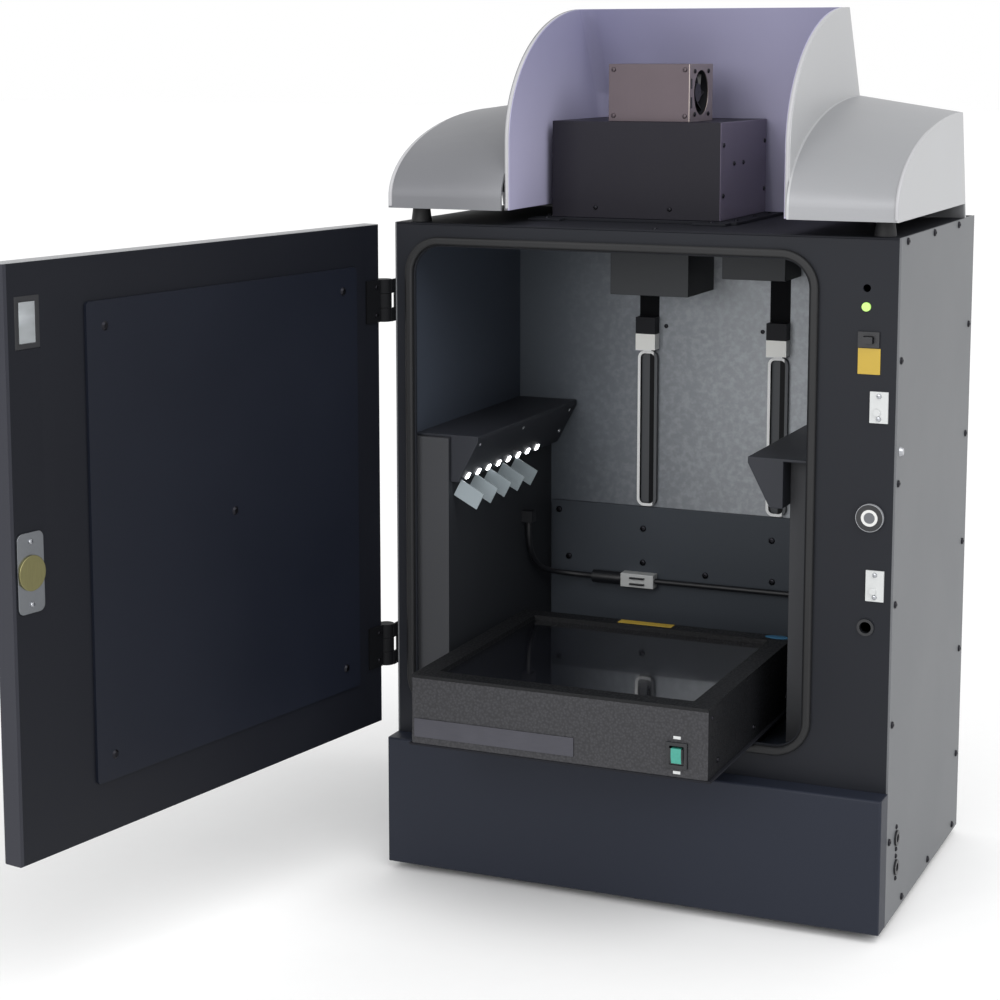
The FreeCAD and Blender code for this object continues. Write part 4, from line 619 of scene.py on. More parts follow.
class Swatch(Enum):
    """Every finish on the object."""

    BLACK_FRONT = Paint("black_front_paint", (27, 29, 35), 0.5, gloss=0.2)
    BLACK_TOP = Paint("black_top_paint", (30, 31, 36), 0.62, gloss=0.12)
    PLINTH = Paint("plinth_paint", (33, 37, 48), 0.48, gloss=0.22)
    SIDE = Paint("side_panel_paint", (100, 102, 105), 0.5, cloud=0.04, gloss=0.3)
    DOOR_SHELL = Paint("door_paint", (17, 19, 26), 0.5, gloss=0.2,
                       faces=(Face("Y", -0.68, -0.669, (46, 47, 54)),
                              Face("Z", 0.6564, 0.66, (150, 151, 153))))
    DOOR_PLATE = Paint("door_plate_paint", (15, 19, 30), 0.5, cloud=0.1, gloss=0.25)
    CHAMBER = Paint("chamber_paint", (60, 66, 77), 0.55, cloud=0.08, gloss=0.2)
    # painted shade: the ballast boxes' side face at X -0.2013 to -0.19 is darker than the lit
    # front
    LOWER_BOX = Paint("lower_box_paint", (63, 64, 67), 0.55, gloss=0.2,
                      faces=(Face("X", -0.2013, -0.19, (38, 40, 44)),))
    OVERHEAD = Paint("overhead_box_paint", (62, 64, 67), 0.5,
                     faces=(Face("X", -0.0154, 0.0, (18, 19, 22)),
                            Face("X", 0.0806, 0.09, (18, 19, 22))))
    LAMP_CASE = Paint("lamp_case_paint", (40, 42, 48), 0.5)
    SERVICE = Paint("service_panel_paint", (60, 65, 72), 0.48)
    # back wall coating with painted shade towards the hinge side
    BACK_WALL = Speckled("chamber_back_coating", (152, 156, 161), 0.45)
    # painted shade: the illuminator case is darker on its sides and top, behind its front face
    HAMMER = Hammertone("illuminator_enamel", (54, 54, 57), 0.45,
                        faces=(Face("Y", -0.2976, 0.1, (15, 16, 19)),))
    HAMMER_RIM = Hammertone("illuminator_rim_enamel", (12, 13, 16), 0.5)
    # painted light and painted reflection of the hood: the camera box's right face is lighter and
    # purple
    CAMERA_BOX = Paint("camera_box_paint", (22, 20, 30), 0.46, gloss=0.22,
                       faces=(Face("X", 0.0533, 0.06, (104, 98, 113)),))
    # painted light: the fan box's right face is lighter
    FAN_BOX = Metal("fan_box_anodising", (88, 80, 84), 0.48, (1.0, 1.0, 0.05), 0.08,
                    faces=(Face("X", 0.0173, 0.025, (176, 166, 160)),))
    ZINC = Metal("zinc_plate", (126, 129, 133), 0.36)
    STEEL = Metal("steel", (168, 170, 174), 0.3, (1.0, 0.05, 1.0))
    BRASS = Metal("brass", (130, 126, 90), 0.38, (1.0, 1.0, 0.06), 0.16)
    BLACK_SCREW = Metal("black_oxide", (40, 40, 44), 0.4)
    ALUMINIUM = Metal("handle_anodising", (92, 94, 100), 0.36, (1.0, 1.0, 0.04))
    VANE = Paint("vane_paint", (146, 156, 161), 0.34, peel=0.05, gloss=0.5)
    HINGE = Paint("hinge_paint", (11, 12, 15), 0.6, gloss=0.15)
    SLOT_LINING = Paint("slot_lining", (8, 9, 12), 0.7, gloss=0.1)
    RUBBER = Moulding("black_rubber", (24, 24, 27), 0.62, grain=0.3, pitch=900.0)
    GASKET = Moulding("gasket_rubber", (12, 13, 16), 0.62)
    BLACK_PLASTIC = Moulding("black_plastic", (26, 27, 31), 0.4)
    WHITE_PLASTIC = Moulding("white_plastic", (198, 200, 200), 0.42)
    LEAD = Moulding("lead_jacket", (24, 25, 29), 0.5)
    # painted light: the hood's faces that look right, at X 0.146 to 0.152 and 0.2525 to 0.26, are
    # lighter
    HOOD_SILVER = SilverSkin("hood_silver", (146, 147, 150), 0.45,
                             faces=(Face("X", 0.146, 0.152, (176, 177, 179)),
                                    Face("X", 0.2525, 0.26, (178, 179, 181))))
    HOOD_BEAD = Moulding("hood_bead", (172, 172, 175), 0.46, grain=0.08)
    # hood lining with painted shade towards its upper hinge-side corner
    HOOD_BLUE = PaintedShadeSkin("hood_blue", (190, 187, 213), 0.45)
    FILTER = Glass("filter_glass", (17, 18, 23), 0.05)
    PANE = Glass("indicator_pane", (196, 202, 206), 0.08, 0.6)
    LED = Lens("white_lamp", (240, 244, 250), 0.2, glow=6.0)
    DIFFUSER = Lens("lamp_diffuser", (214, 218, 222), 0.4, glow=0.1)
    GREEN_LENS = Lens("green_lens", (170, 218, 108), 0.25, glow=0.5)
    TEAL = RockerFace("rocker_face", (62, 150, 134), 0.28)
    UPRIGHT = UprightLampSkin("upright_lamp_skin", (242, 243, 243), 0.45)
    MAGNET = RingedFace("magnet_face", (150, 152, 156), 0.34)
    YELLOW = Moulding("yellow_strip", (184, 154, 48), 0.38, grain=0.05)
    BLUE_SPOT = Moulding("blue_spot", (44, 112, 152), 0.3, grain=0.05)
    BLANK_PLATE = Metal("blank_plate", (80, 80, 86), 0.4)


class Palette:
    """Makes each material once and hands it out."""

    def __init__(self) -> None:
        """Start with nothing made."""
        self._made: Dict[Swatch, bpy.types.Material] = {}

    def __getitem__(self, swatch: Swatch) -> bpy.types.Material:
        """Return the material of a swatch, made on first use."""
        if swatch not in self._made:
            self._made[swatch] = swatch.value.material()
        return self._made[swatch]

    def dress(self, piece: bpy.types.Object, swatch: Swatch) -> bpy.types.Object:
        """Give a piece one material all over."""
        piece.data.materials.clear()
        piece.data.materials.append(self[swatch])
        return piece


# Modelling


class Bench:
    """Models pieces with Blender's own tools, each at the origin with its place in its mesh."""

    def __init__(self, palette: Palette, nodes: Dict[str, bpy.types.Object],
                 bodies: Dict[str, Sequence[str]]) -> None:
        """Keep what every piece needs.

        Args:
            palette: The materials.
            nodes: The carried-over solids by name.
            bodies: Node names by body.
        """
        self.palette = palette
        self.nodes = nodes
        self.body_of = {node: body for body, names in bodies.items() for node in names}

    @staticmethod
    def clear() -> None:
        """Deselect everything, in object mode."""
        if bpy.context.mode != "OBJECT":
            bpy.ops.object.mode_set(mode="OBJECT")
        bpy.ops.object.select_all(action="DESELECT")

    def settle(self, name: str) -> bpy.types.Object:
        """Name the active piece and write its place into its mesh."""
        piece = bpy.context.active_object
        piece.name = name
        piece.data.name = name
        bpy.ops.object.transform_apply(location=True, rotation=True, scale=True)
        return piece

    def bevel(self, piece: bpy.types.Object, width: float, segments: int = 2) -> bpy.types.Object:
        """Round a piece's sharp edges and shade it smooth.

        Args:
            piece: The piece.
            width: Bevel width in millimetres.
            segments: Steps across the bevel.

        Returns:
            The same piece.
        """
        self.clear()
        piece.select_set(True)
        bpy.context.view_layer.objects.active = piece
        tool = piece.modifiers.new("edge", "BEVEL")
        tool.width = width * MM
        tool.segments = segments
        tool.limit_method = "ANGLE"
        tool.angle_limit = SHARP_ANGLE
        tool.use_clamp_overlap = True
        bpy.ops.object.modifier_apply(modifier=tool.name)
        bpy.ops.object.shade_smooth_by_angle(angle=SMOOTH_ANGLE)
        flat = piece.modifiers.new("flat_faces", "WEIGHTED_NORMAL")
        flat.keep_sharp = True
        bpy.ops.object.modifier_apply(modifier=flat.name)
        return piece

    def block(self, name: str, low: Point, high: Point, round_off: float) -> bpy.types.Object:
        """Model a plate or bar with softened edges.

        Args:
            name: The piece's name.
            low: Its lowest corner in millimetres.
            high: Its highest corner in millimetres.
            round_off: Bevel width in millimetres.

        Returns:
            The piece.
        """
        self.clear()
        corner, other = metres(low), metres(high)
        bpy.ops.mesh.primitive_cube_add(size=1, location=(corner + other) / 2)
        bpy.context.active_object.scale = other - corner
        return self.bevel(self.settle(name), round_off)

    def turned(self, name: str, rings: Pairs, sides: int) -> bpy.types.Object:
        """Model a round piece that looks up, from its foot at the origin.

        Args:
            name: The piece's name.
            rings: Radius and height of each step in millimetres, from the foot.
            sides: Facets round it.

        Returns:
            The piece, whose top is flat.
        """
        self.clear()
        radius, level = rings[0]
        bpy.ops.mesh.primitive_circle_add(vertices=sides, radius=radius * MM, fill_type="NGON",
                                          location=(0, 0, level * MM))
        bpy.ops.object.mode_set(mode="EDIT")
        for step, height in rings[1:]:
            rise = (0, 0, (height - level) * MM)
            bpy.ops.mesh.extrude_region_move(TRANSFORM_OT_translate={"value": rise})
            share = step / radius
            bpy.ops.transform.resize(value=(share, share, 1), center_override=(0, 0, height * MM))
            radius, level = step, height
        bpy.ops.mesh.select_all(action="SELECT")
        bpy.ops.mesh.normals_make_consistent(inside=False)
        bpy.ops.object.mode_set(mode="OBJECT")
        piece = self.settle(name)
        bpy.ops.object.shade_smooth_by_angle(angle=SHARP_ANGLE)
        return piece

    def spread(self, pattern: bpy.types.Object, name: str, places: Iterable[Point],
               facing: Facing, turn: Optional[Matrix] = None) -> bpy.types.Object:
        """Copy a pattern to many places and join the copies.

        Args:
            pattern: The piece to copy, which stays as it is.
            name: The joined piece's name.
            places: Where each copy stands, in millimetres.
            facing: Which way the copies look.
            turn: A further turn of the whole set, in metres.

        Returns:
            The joined piece.
        """
        self.clear()
        whole = turn or Matrix.Identity(4)
        copies = []
        for place in places:
            twin = pattern.copy()
            twin.data = pattern.data.copy()
            bpy.context.collection.objects.link(twin)
            twin.matrix_world = whole @ Matrix.Translation(metres(place)) @ facing.value
            twin.select_set(True)
            copies.append(twin)
        bpy.context.view_layer.objects.active = copies[0]
        if len(copies) > 1:
            bpy.ops.object.join()
        return self.settle(name)

    def bead(self, name: str, path: Sequence[Point], radius: float) -> bpy.types.Object:
        """Model a rounded rim along an edge.

        Args:
            name: The piece's name.
            path: Points along the edge in millimetres.
            radius: The bead's radius in millimetres.

        Returns:
            The piece as a mesh.
        """
        self.clear()
        curve = bpy.data.curves.new(name, "CURVE")
        curve.dimensions = "3D"
        curve.bevel_depth = radius * MM
        curve.bevel_resolution = 3
        curve.use_fill_caps = True
        spline = curve.splines.new("POLY")
        spline.points.add(len(path) - 1)
        for spot, place in zip(spline.points, path):
            spot.co = (*metres(place), 1)
        holder = bpy.data.objects.new(name, curve)
        bpy.context.collection.objects.link(holder)
        holder.select_set(True)
        bpy.context.view_layer.objects.active = holder
        bpy.ops.object.convert(target="MESH")
        bpy.ops.object.shade_smooth_by_angle(angle=BEAD_ANGLE)
        return self.settle(name)

    def soften(self, node: str, width: float, swatch: Swatch, segments: int = 2,
               merge_faces: bool = True) -> bpy.types.Object:
        """Stand a copy with rounded edges in for a carried-over solid.

        Args:
            node: The solid's name.
            width: Bevel width in millimetres.
            swatch: The copy's finish.
            segments: Steps across the bevel.
            merge_faces: Whether flat faces are merged first, which a face with a hole can't take.

        Returns:
            The copy.
        """
        self.clear()
        source = self.nodes[node]
        twin = source.copy()
        twin.data = source.data.copy()
        twin.parent = None
        twin.matrix_world = Matrix.Identity(4)
        bpy.context.collection.objects.link(twin)
        twin.select_set(True)
        bpy.context.view_layer.objects.active = twin
        bpy.ops.object.mode_set(mode="EDIT")
        bpy.ops.mesh.select_all(action="SELECT")
        bpy.ops.mesh.remove_doubles(threshold=WELD_DISTANCE)
        if merge_faces:
            bpy.ops.mesh.dissolve_limited(angle_limit=FLAT_ANGLE)
        bpy.ops.object.mode_set(mode="OBJECT")
        self.settle(node + "_finished")
        self.bevel(twin, width, segments)
        self.palette.dress(twin, swatch)
        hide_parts(node)
        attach(twin, self.body_of[node])
        LOG.info("softened %s", node)
        return twin

    def fit(self, piece: bpy.types.Object, body: Body, swatch: Swatch, slot: str) -> None:
        """Dress a new piece and make it ride.

        Args:
            piece: The piece.
            body: The body that it moves with.
            swatch: Its finish.
            slot: The record's material slot that it belongs to; not used.
        """
        self.palette.dress(piece, swatch)
        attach(piece, body.value)
        LOG.info("fitted %s on %s", piece.name, body.value)


@dataclass
class Fasteners:
    """Screw heads, modelled once each."""

    bench: Bench
    pan_rings: Pairs = ((3.4, -0.4), (3.4, 0.9), (2.9, 1.7), (1.6, 2.1), (1.5, 2.1), (1.3, 1.0))
    small_rings: Pairs = ((2.3, -0.3), (2.3, 0.7), (1.9, 1.3), (1.1, 1.5), (0.9, 0.7))
    pan: bpy.types.Object = field(init=False)
    small: bpy.types.Object = field(init=False)

    def __post_init__(self) -> None:
        """Model the two heads with their sockets."""
        self.pan = self.bench.turned("pan_head", self.pan_rings, 20)
        self.small = self.bench.turned("small_head", self.small_rings, 16)

    def discard(self) -> None:
        """Remove the two patterns."""
        for pattern in (self.pan, self.small):
            bpy.data.objects.remove(pattern, do_unlink=True)


# Sub-assemblies


@dataclass
class Cabinet:
    """The case, its front frame and the fittings on it."""

    bench: Bench
    fasteners: Fasteners
    side: float = 254.0
    front: float = -158.0
    top: float = CABINET_TOP
    screw_rows: Tuple[float, ...] = (546, 432, 318, 203, 89)
    socket_heights: Tuple[float, float] = (55, 84)
    catch_heights: Tuple[float, float] = (503, 336)
    strip_low: Tuple[float, float] = (216, 533)
    strip_high: Tuple[float, float] = (237, 557)
    strip_thick: float = 0.8

    def panels(self) -> None:
        """Round the case's edges and paint its panels."""
        for node, width, swatch in (
            ("left_side_panel", 0.8, Swatch.SIDE), ("right_side_panel", 0.8, Swatch.SIDE),
            ("top_panel", 0.7, Swatch.BLACK_TOP), ("front_frame", 0.8, Swatch.BLACK_FRONT),
            ("plinth_cover", 0.8, Swatch.PLINTH), ("back_panel", 0.6, Swatch.SIDE),
        ):
            self.bench.soften(node, width, swatch)

    def side_screws(self) -> None:
        """Put the rows of screws round both side panels."""
        rows = [(y, self.top - 4.5) for y in (-135, -26, 82)]
        rows += [(-150, z) for z in self.screw_rows]
        rows += [(142, z + 2) for z in self.screw_rows]
        rows += [(y, 16) for y in (-93, 18, 132)]
        for name, across, facing in (("right", self.side, Facing.RIGHT),
                                     ("left", -self.side, Facing.LEFT)):
            spots = [(across, y, z) for y, z in rows]
            piece = self.bench.spread(self.fasteners.pan, f"{name}_side_screws", spots, facing)
            self.bench.fit(piece, Body.CABINET, Swatch.BLACK_SCREW, "zinc")

    def socket_screws(self) -> None:
        """Put a small screw above and below each side socket."""
        spots = [(self.side, -121, z + step) for z in self.socket_heights for step in (-11, 11)]
        piece = self.bench.spread(self.fasteners.small, "socket_screws", spots, Facing.RIGHT)
        self.bench.fit(piece, Body.CABINET, Swatch.BLACK_SCREW, "zinc")

    def strip_plates(self) -> None:
        """Add the bare plate under the interlock, and screws on the catch plates."""
        (west, low), (east, high) = self.strip_low, self.strip_high
        plate = self.bench.block("strip_plate", (west, self.front - self.strip_thick, low),
                                 (east, self.front, high), 0.3)
        self.bench.fit(plate, Body.CABINET, Swatch.YELLOW, "white_plastic")
        spots = [(237, self.front - 2, z + step)
                 for z in self.catch_heights for step in (-10.5, 10.5)]
        piece = self.bench.spread(self.fasteners.small, "catch_screws", spots, Facing.FRONT)
        self.bench.fit(piece, Body.CABINET, Swatch.STEEL, "zinc")

    def hinge_screws(self) -> None:
        """Put screws through the fixed hinge leaves."""
        spots = [(-256, self.front + 17, z + step)
                 for z in HINGE_HEIGHTS for step in (-12, 12)]
        piece = self.bench.spread(self.fasteners.small, "hinge_leaf_screws", spots, Facing.LEFT)
        self.bench.fit(piece, Body.CABINET, Swatch.BLACK_SCREW, "zinc")

    def build(self) -> None:
        """Build and dress the case."""
        self.panels()
        self.side_screws()
        self.socket_screws()
        self.strip_plates()
        self.hinge_screws()


@dataclass
class Door:
    """The open door's panel and the fittings on it."""

    bench: Bench
    fasteners: Fasteners
    pin: Point = (-263.0, -166.0, 0.0)
    open_angle: float = 100.0
    latch_heights: Tuple[float, float] = (373.5, 426.5)

    @property
    def swing(self) -> Matrix:
        """The turn from the closed door to the open one."""
        shift = Matrix.Translation(metres(self.pin))
        return shift @ Matrix.Rotation(math.radians(-self.open_angle), 4, "Z") @ shift.inverted()

    def panels(self) -> None:
        """Round the door's edges and paint it."""
        self.bench.soften("door_shell", 1.0, Swatch.DOOR_SHELL, 3)
        self.bench.soften("door_inner_plate", 0.5, Swatch.DOOR_PLATE)
        self.bench.soften("window_frame", 0.8, Swatch.BLACK_PLASTIC)
        self.bench.soften("latch_plate", 0.3, Swatch.ZINC)
        self.bench.soften("door_handle", 0.6, Swatch.ALUMINIUM)

    def screws(self) -> None:
        """Put screws in the latch plate and the door's hinge leaves."""
        latch = [(231, -164.5, z) for z in self.latch_heights]
        leaf = [(-248.5, -164, z + step) for z in HINGE_HEIGHTS for step in (-14, 14)]
        for name, spots, swatch in (("latch_screws", latch, Swatch.STEEL),
                                    ("door_leaf_screws", leaf, Swatch.BLACK_SCREW)):
            piece = self.bench.spread(self.fasteners.small, name, spots, Facing.BACK, self.swing)
            self.bench.fit(piece, Body.DOOR, swatch, "zinc")

    def build(self) -> None:
        """Build and dress the door."""
        self.panels()
        self.screws()


@dataclass
class Chamber:
    """The dark room behind the door and what is fixed in it."""

    bench: Bench
    fasteners: Fasteners
    panel_face: float = 122.0
    service_spots: Pairs = ((-190, 322), (-91, 308), (-91, 270), (-178, 270), (-19, 262),
                            (55, 307), (56, 262))
    wall_face: float = 126.0
    strip_thick: float = 0.6
    strip_foot: float = 541.0
    strips: Tuple[Tuple[str, float, float, float], ...] = (("left", -98, -76, 574),
                                                           ("right", 48, 70, 592))
    slots: Tuple[Tuple[str, float], ...] = (("lower", 247.6), ("upper", 254.2))
    slot_tall: float = 1.8

    def panels(self) -> None:
        """Round the edges of the boxes and lamp cases."""
        self.bench.soften("ballast_boxes", 0.7, Swatch.LOWER_BOX)
        self.bench.soften("overhead_lamp_boxes", 0.7, Swatch.OVERHEAD)
        self.bench.soften("side_lamp_housings", 0.8, Swatch.LAMP_CASE)
        self.bench.soften("service_panel", 0.5, Swatch.SERVICE)
        self.bench.soften("terminal_block", 0.6, Swatch.WHITE_PLASTIC)

    def service_screws(self) -> None:
        """Put the scattered screws on the service panel."""
        spots = [(x, self.panel_face, z) for x, z in self.service_spots]
        piece = self.bench.spread(self.fasteners.pan, "service_screws", spots, Facing.FRONT)
        self.bench.fit(piece, Body.CABINET, Swatch.BLACK_SCREW, "zinc")

    def wall_fittings(self) -> None:
        """Line the wall black above the upright lamps, and put a screw beside each."""
        near = self.wall_face - self.strip_thick
        for name, low, high, top in self.strips:
            strip = self.bench.block(f"{name}_slot_strip", (low, near, self.strip_foot),
                                     (high, self.wall_face, top), 0.15)
            self.bench.fit(strip, Body.CABINET, Swatch.SLOT_LINING, "black_plastic")
        spots = [(-68, self.wall_face, 532), (40, self.wall_face, 531)]
        piece = self.bench.spread(self.fasteners.small, "wall_screws", spots, Facing.FRONT)
        self.bench.fit(piece, Body.CABINET, Swatch.BLACK_SCREW, "zinc")

    def terminal_slots(self) -> None:
        """Put the two dark slots in the terminal block's face."""
        for name, low in self.slots:
            slot = self.bench.block(f"{name}_terminal_slot", (-101, 105.2, low),
                                    (-84, 108.3, low + self.slot_tall), 0.3)
            self.bench.fit(slot, Body.CABINET, Swatch.BLACK_PLASTIC, "black_plastic")

    def housing_screws(self) -> None:
        """Put the bright screws along the left lamp housing's sloping face."""
        places = [(-173.8, y, 437.0) for y in (-134, -22, 108)] + [(-185.6, 108, 412.8)]
        piece = self.bench.spread(self.fasteners.small, "housing_screws", places, Facing.SLOPE)
        self.bench.fit(piece, Body.CABINET, Swatch.STEEL, "zinc")

    def build(self) -> None:
        """Build and dress the chamber."""
        self.panels()
        self.service_screws()
        self.wall_fittings()
        self.terminal_slots()
        self.housing_screws()


@dataclass
class Illuminator:
    """The ultraviolet illuminator on its tray."""

    bench: Bench
    fasteners: Fasteners
    front: float = -299.0
    top: float = 243.0
    left: float = -171.0
    right: float = 123.0
    side_spots: Pairs = ((-288, 232), (-270, 188), (-160, 188), (-50, 188))
    marks: Tuple[Tuple[str, float], ...] = (("upper", 212.0), ("lower", 179.5))
    mark_tall: float = 2.8

    def case(self) -> None:
        """Round the case's edges and enamel it."""
        self.bench.soften("illuminator_housing", 1.2, Swatch.HAMMER, 3, merge_faces=False)
        self.bench.soften("illuminator_rim", 1.0, Swatch.HAMMER_RIM, 3, merge_faces=False)
        self.bench.soften("slide_tray", 0.4, Swatch.BLACK_TOP)
        self.bench.soften("switch_bezel", 0.5, Swatch.BLACK_PLASTIC)
        self.bench.soften("rocker_switch", 0.4, Swatch.TEAL)

    def plates(self) -> None:
        """Add the front strip plate, the yellow strip, two switch marks and the blue spot."""
        strip = self.bench.block("front_strip_plate", (-168, self.front - 1.0, 183),
                                 (-6, self.front, 201), 0.35)
        self.bench.fit(strip, Body.TRAY, Swatch.BLANK_PLATE, "zinc")
        yellow = self.bench.block("yellow_strip", (-61, -37, self.top - 0.05),
                                  (-3, -25, self.top + 0.35), 0.15)
        self.bench.fit(yellow, Body.TRAY, Swatch.YELLOW, "white_plastic")
        for name, low in self.marks:
            mark = self.bench.block(f"{name}_switch_mark", (90.5, self.front - 0.5, low),
                                    (97.5, self.front, low + self.mark_tall), 0.2)
            self.bench.fit(mark, Body.TRAY, Swatch.WHITE_PLASTIC, "white_plastic")
        spot = self.bench.turned("blue_spot_pattern", [(5.0, 0.0), (5.0, 0.3), (4.6, 0.45)], 32)
        spot.scale = (2.6, 1.25, 1.0)
        self.bench.clear()
        spot.select_set(True)
        bpy.context.view_layer.objects.active = spot
        bpy.ops.transform.translate(value=metres((108, -30.2, self.top - 0.05)))
        spot = self.bench.settle("blue_spot")
        self.bench.fit(spot, Body.TRAY, Swatch.BLUE_SPOT, "white_plastic")

    def screws(self) -> None:
        """Put screws low on the case's sides."""
        for name, across, facing in (("right", self.right, Facing.RIGHT),
                                     ("left", self.left, Facing.LEFT)):
            spots = [(across, y, z) for y, z in self.side_spots]
            piece = self.bench.spread(self.fasteners.small, f"{name}_case_screws", spots, facing)
            self.bench.fit(piece, Body.TRAY, Swatch.BLACK_SCREW, "zinc")

    def build(self) -> None:
        """Build and dress the illuminator."""
        self.case()
        self.plates()
        self.screws()


@dataclass
class CameraTower:
    """The camera box on the cabinet's top, with the fan box on it."""

    bench: Bench
    fasteners: Fasteners
    left: float = -122.0
    right: float = 54.0
    front: float = -70.0
    rear: float = 82.0
    fan_right: float = 18.0
    fan_front: float = -60.0
    plate_top: float = 661.0
    ear_wide: float = 34.0

    def boxes(self) -> None:
        """Round the boxes' edges and paint them."""
        self.bench.soften("camera_base_plate", 0.6, Swatch.BLACK_TOP)
        self.bench.soften("camera_housing", 1.0, Swatch.CAMERA_BOX, 3, merge_faces=False)
        self.bench.soften("fan_housing", 0.7, Swatch.FAN_BOX)

    def ears(self) -> None:
        """Add the two flat ears that clamp the base plate's front corners."""
        for name, start in (("left", -140.0), ("right", 32.0)):
            ear = self.bench.block(f"{name}_clamp_ear", (start, -90, CABINET_TOP),
                                   (start + self.ear_wide, -74.2, self.plate_top), 0.6)
            self.bench.fit(ear, Body.CABINET, Swatch.BLACK_TOP, "black_paint")

    def screws(self) -> None:
        """Put screws on the boxes and the base plate."""
        black = Swatch.BLACK_SCREW
        corners = [(y, z) for y in (self.front + 8, self.rear - 8) for z in (735, 686)]
        middle = [(-28, 716), (2, 716)]
        sets = (
            ("right_box_screws", [(self.right, y, z) for y, z in corners + middle],
             Facing.RIGHT, black),
            ("left_box_screws", [(self.left, y, z) for y, z in corners], Facing.LEFT, black),
            ("front_box_screws", [(x, self.front, 672) for x in (-75.5, 2)], Facing.FRONT, black),
            ("base_screws", [(x, y, 661.5) for x in (64, -132) for y in (-50, 12, 64)],
             Facing.UP, black),
            ("ear_screws", [(x, -82, self.plate_top) for x in (-123, 49)], Facing.UP, black),
            ("top_stud", [(14, -146, CABINET_TOP)], Facing.UP, black),
            ("fan_box_screws", [(x, self.fan_front, z) for x in (-61, 13) for z in (762.5, 807.5)],
             Facing.FRONT, Swatch.FAN_BOX),
            ("fan_screws", [(self.fan_right, y, z) for y in (-45, -3) for z in (764, 806)],
             Facing.RIGHT, black),
        )
        for name, spots, facing, swatch in sets:
            piece = self.bench.spread(self.fasteners.small, name, spots, facing)
            self.bench.fit(piece, Body.CABINET, swatch, "zinc")

    def inlets(self) -> None:
        """Add the two dark inlets ahead of the fan."""
        for name, low, high in (("upper", 789.0, 799.0), ("lower", 770.0, 781.0)):
            inlet = self.bench.block(f"{name}_inlet", (self.fan_right - 0.6, -56.5, low),
                                     (self.fan_right + 0.7, -53.0, high), 0.5)
            self.bench.fit(inlet, Body.CABINET, Swatch.BLACK_PLASTIC, "black_plastic")

    def build(self) -> None:
        """Build and dress the camera box."""
        self.boxes()
        self.ears()
        self.screws()
        self.inlets()


@dataclass
class Hood:
    """The moulded cover, with light beads along its open edges."""

    bench: Bench
    low: float = 673.3
    hump_front: float = -163.0
    hump_spring: float = 738.3
    hump_top: Tuple[float, float] = (37.0, 868.3)
    cheek_front: float = -172.0
    cheek_spring: float = 684.3
    cheek_top: Tuple[float, float] = (88.15, 765.3)
    bead: float = 1.9

    def edge(self, across: float, front: float, spring: float,
             crest: Tuple[float, float]) -> List[Point]:
        """Follow an upright edge and its elliptical rise, up to a bead's radius below the crest.

        Args:
            across: The edge's X.
            front: Depth of the upright front.
            spring: Height at which the rise starts.
            crest: Depth and height at which it ends.

        Returns:
            Points along the edge in millimetres.
        """
        depth, height = crest[0] - front, crest[1] - self.bead - spring
        path = [(across, front, self.low + 2), (across, front, (self.low + spring) / 2)]
        for index in range(BEAD_STEPS + 1):
            angle = math.radians(90 * index / BEAD_STEPS)
            path.append((across, crest[0] - depth * math.cos(angle),
                         spring + height * math.sin(angle)))
        return path

    def build(self) -> None:
        """Build and dress the hood."""
        self.bench.soften("hood_shell", 0.9, Swatch.HOOD_SILVER, merge_faces=False)
        self.bench.soften("hood_bay_lining", 0.4, Swatch.HOOD_BLUE)
        hump = (self.hump_front, self.hump_spring, self.hump_top)
        cheek = (self.cheek_front, self.cheek_spring, self.cheek_top)
        for name, across, sizes in (("left_hump_bead", -131.5, hump),
                                    ("right_hump_bead", 147.5, hump),
                                    ("right_cheek_bead", 252.0, cheek),
                                    ("left_cheek_bead", -252.0, cheek)):
            piece = self.bench.bead(name, self.edge(across, *sizes), self.bead)
            self.bench.fit(piece, Body.HOOD, Swatch.HOOD_BEAD, "hood_silver")


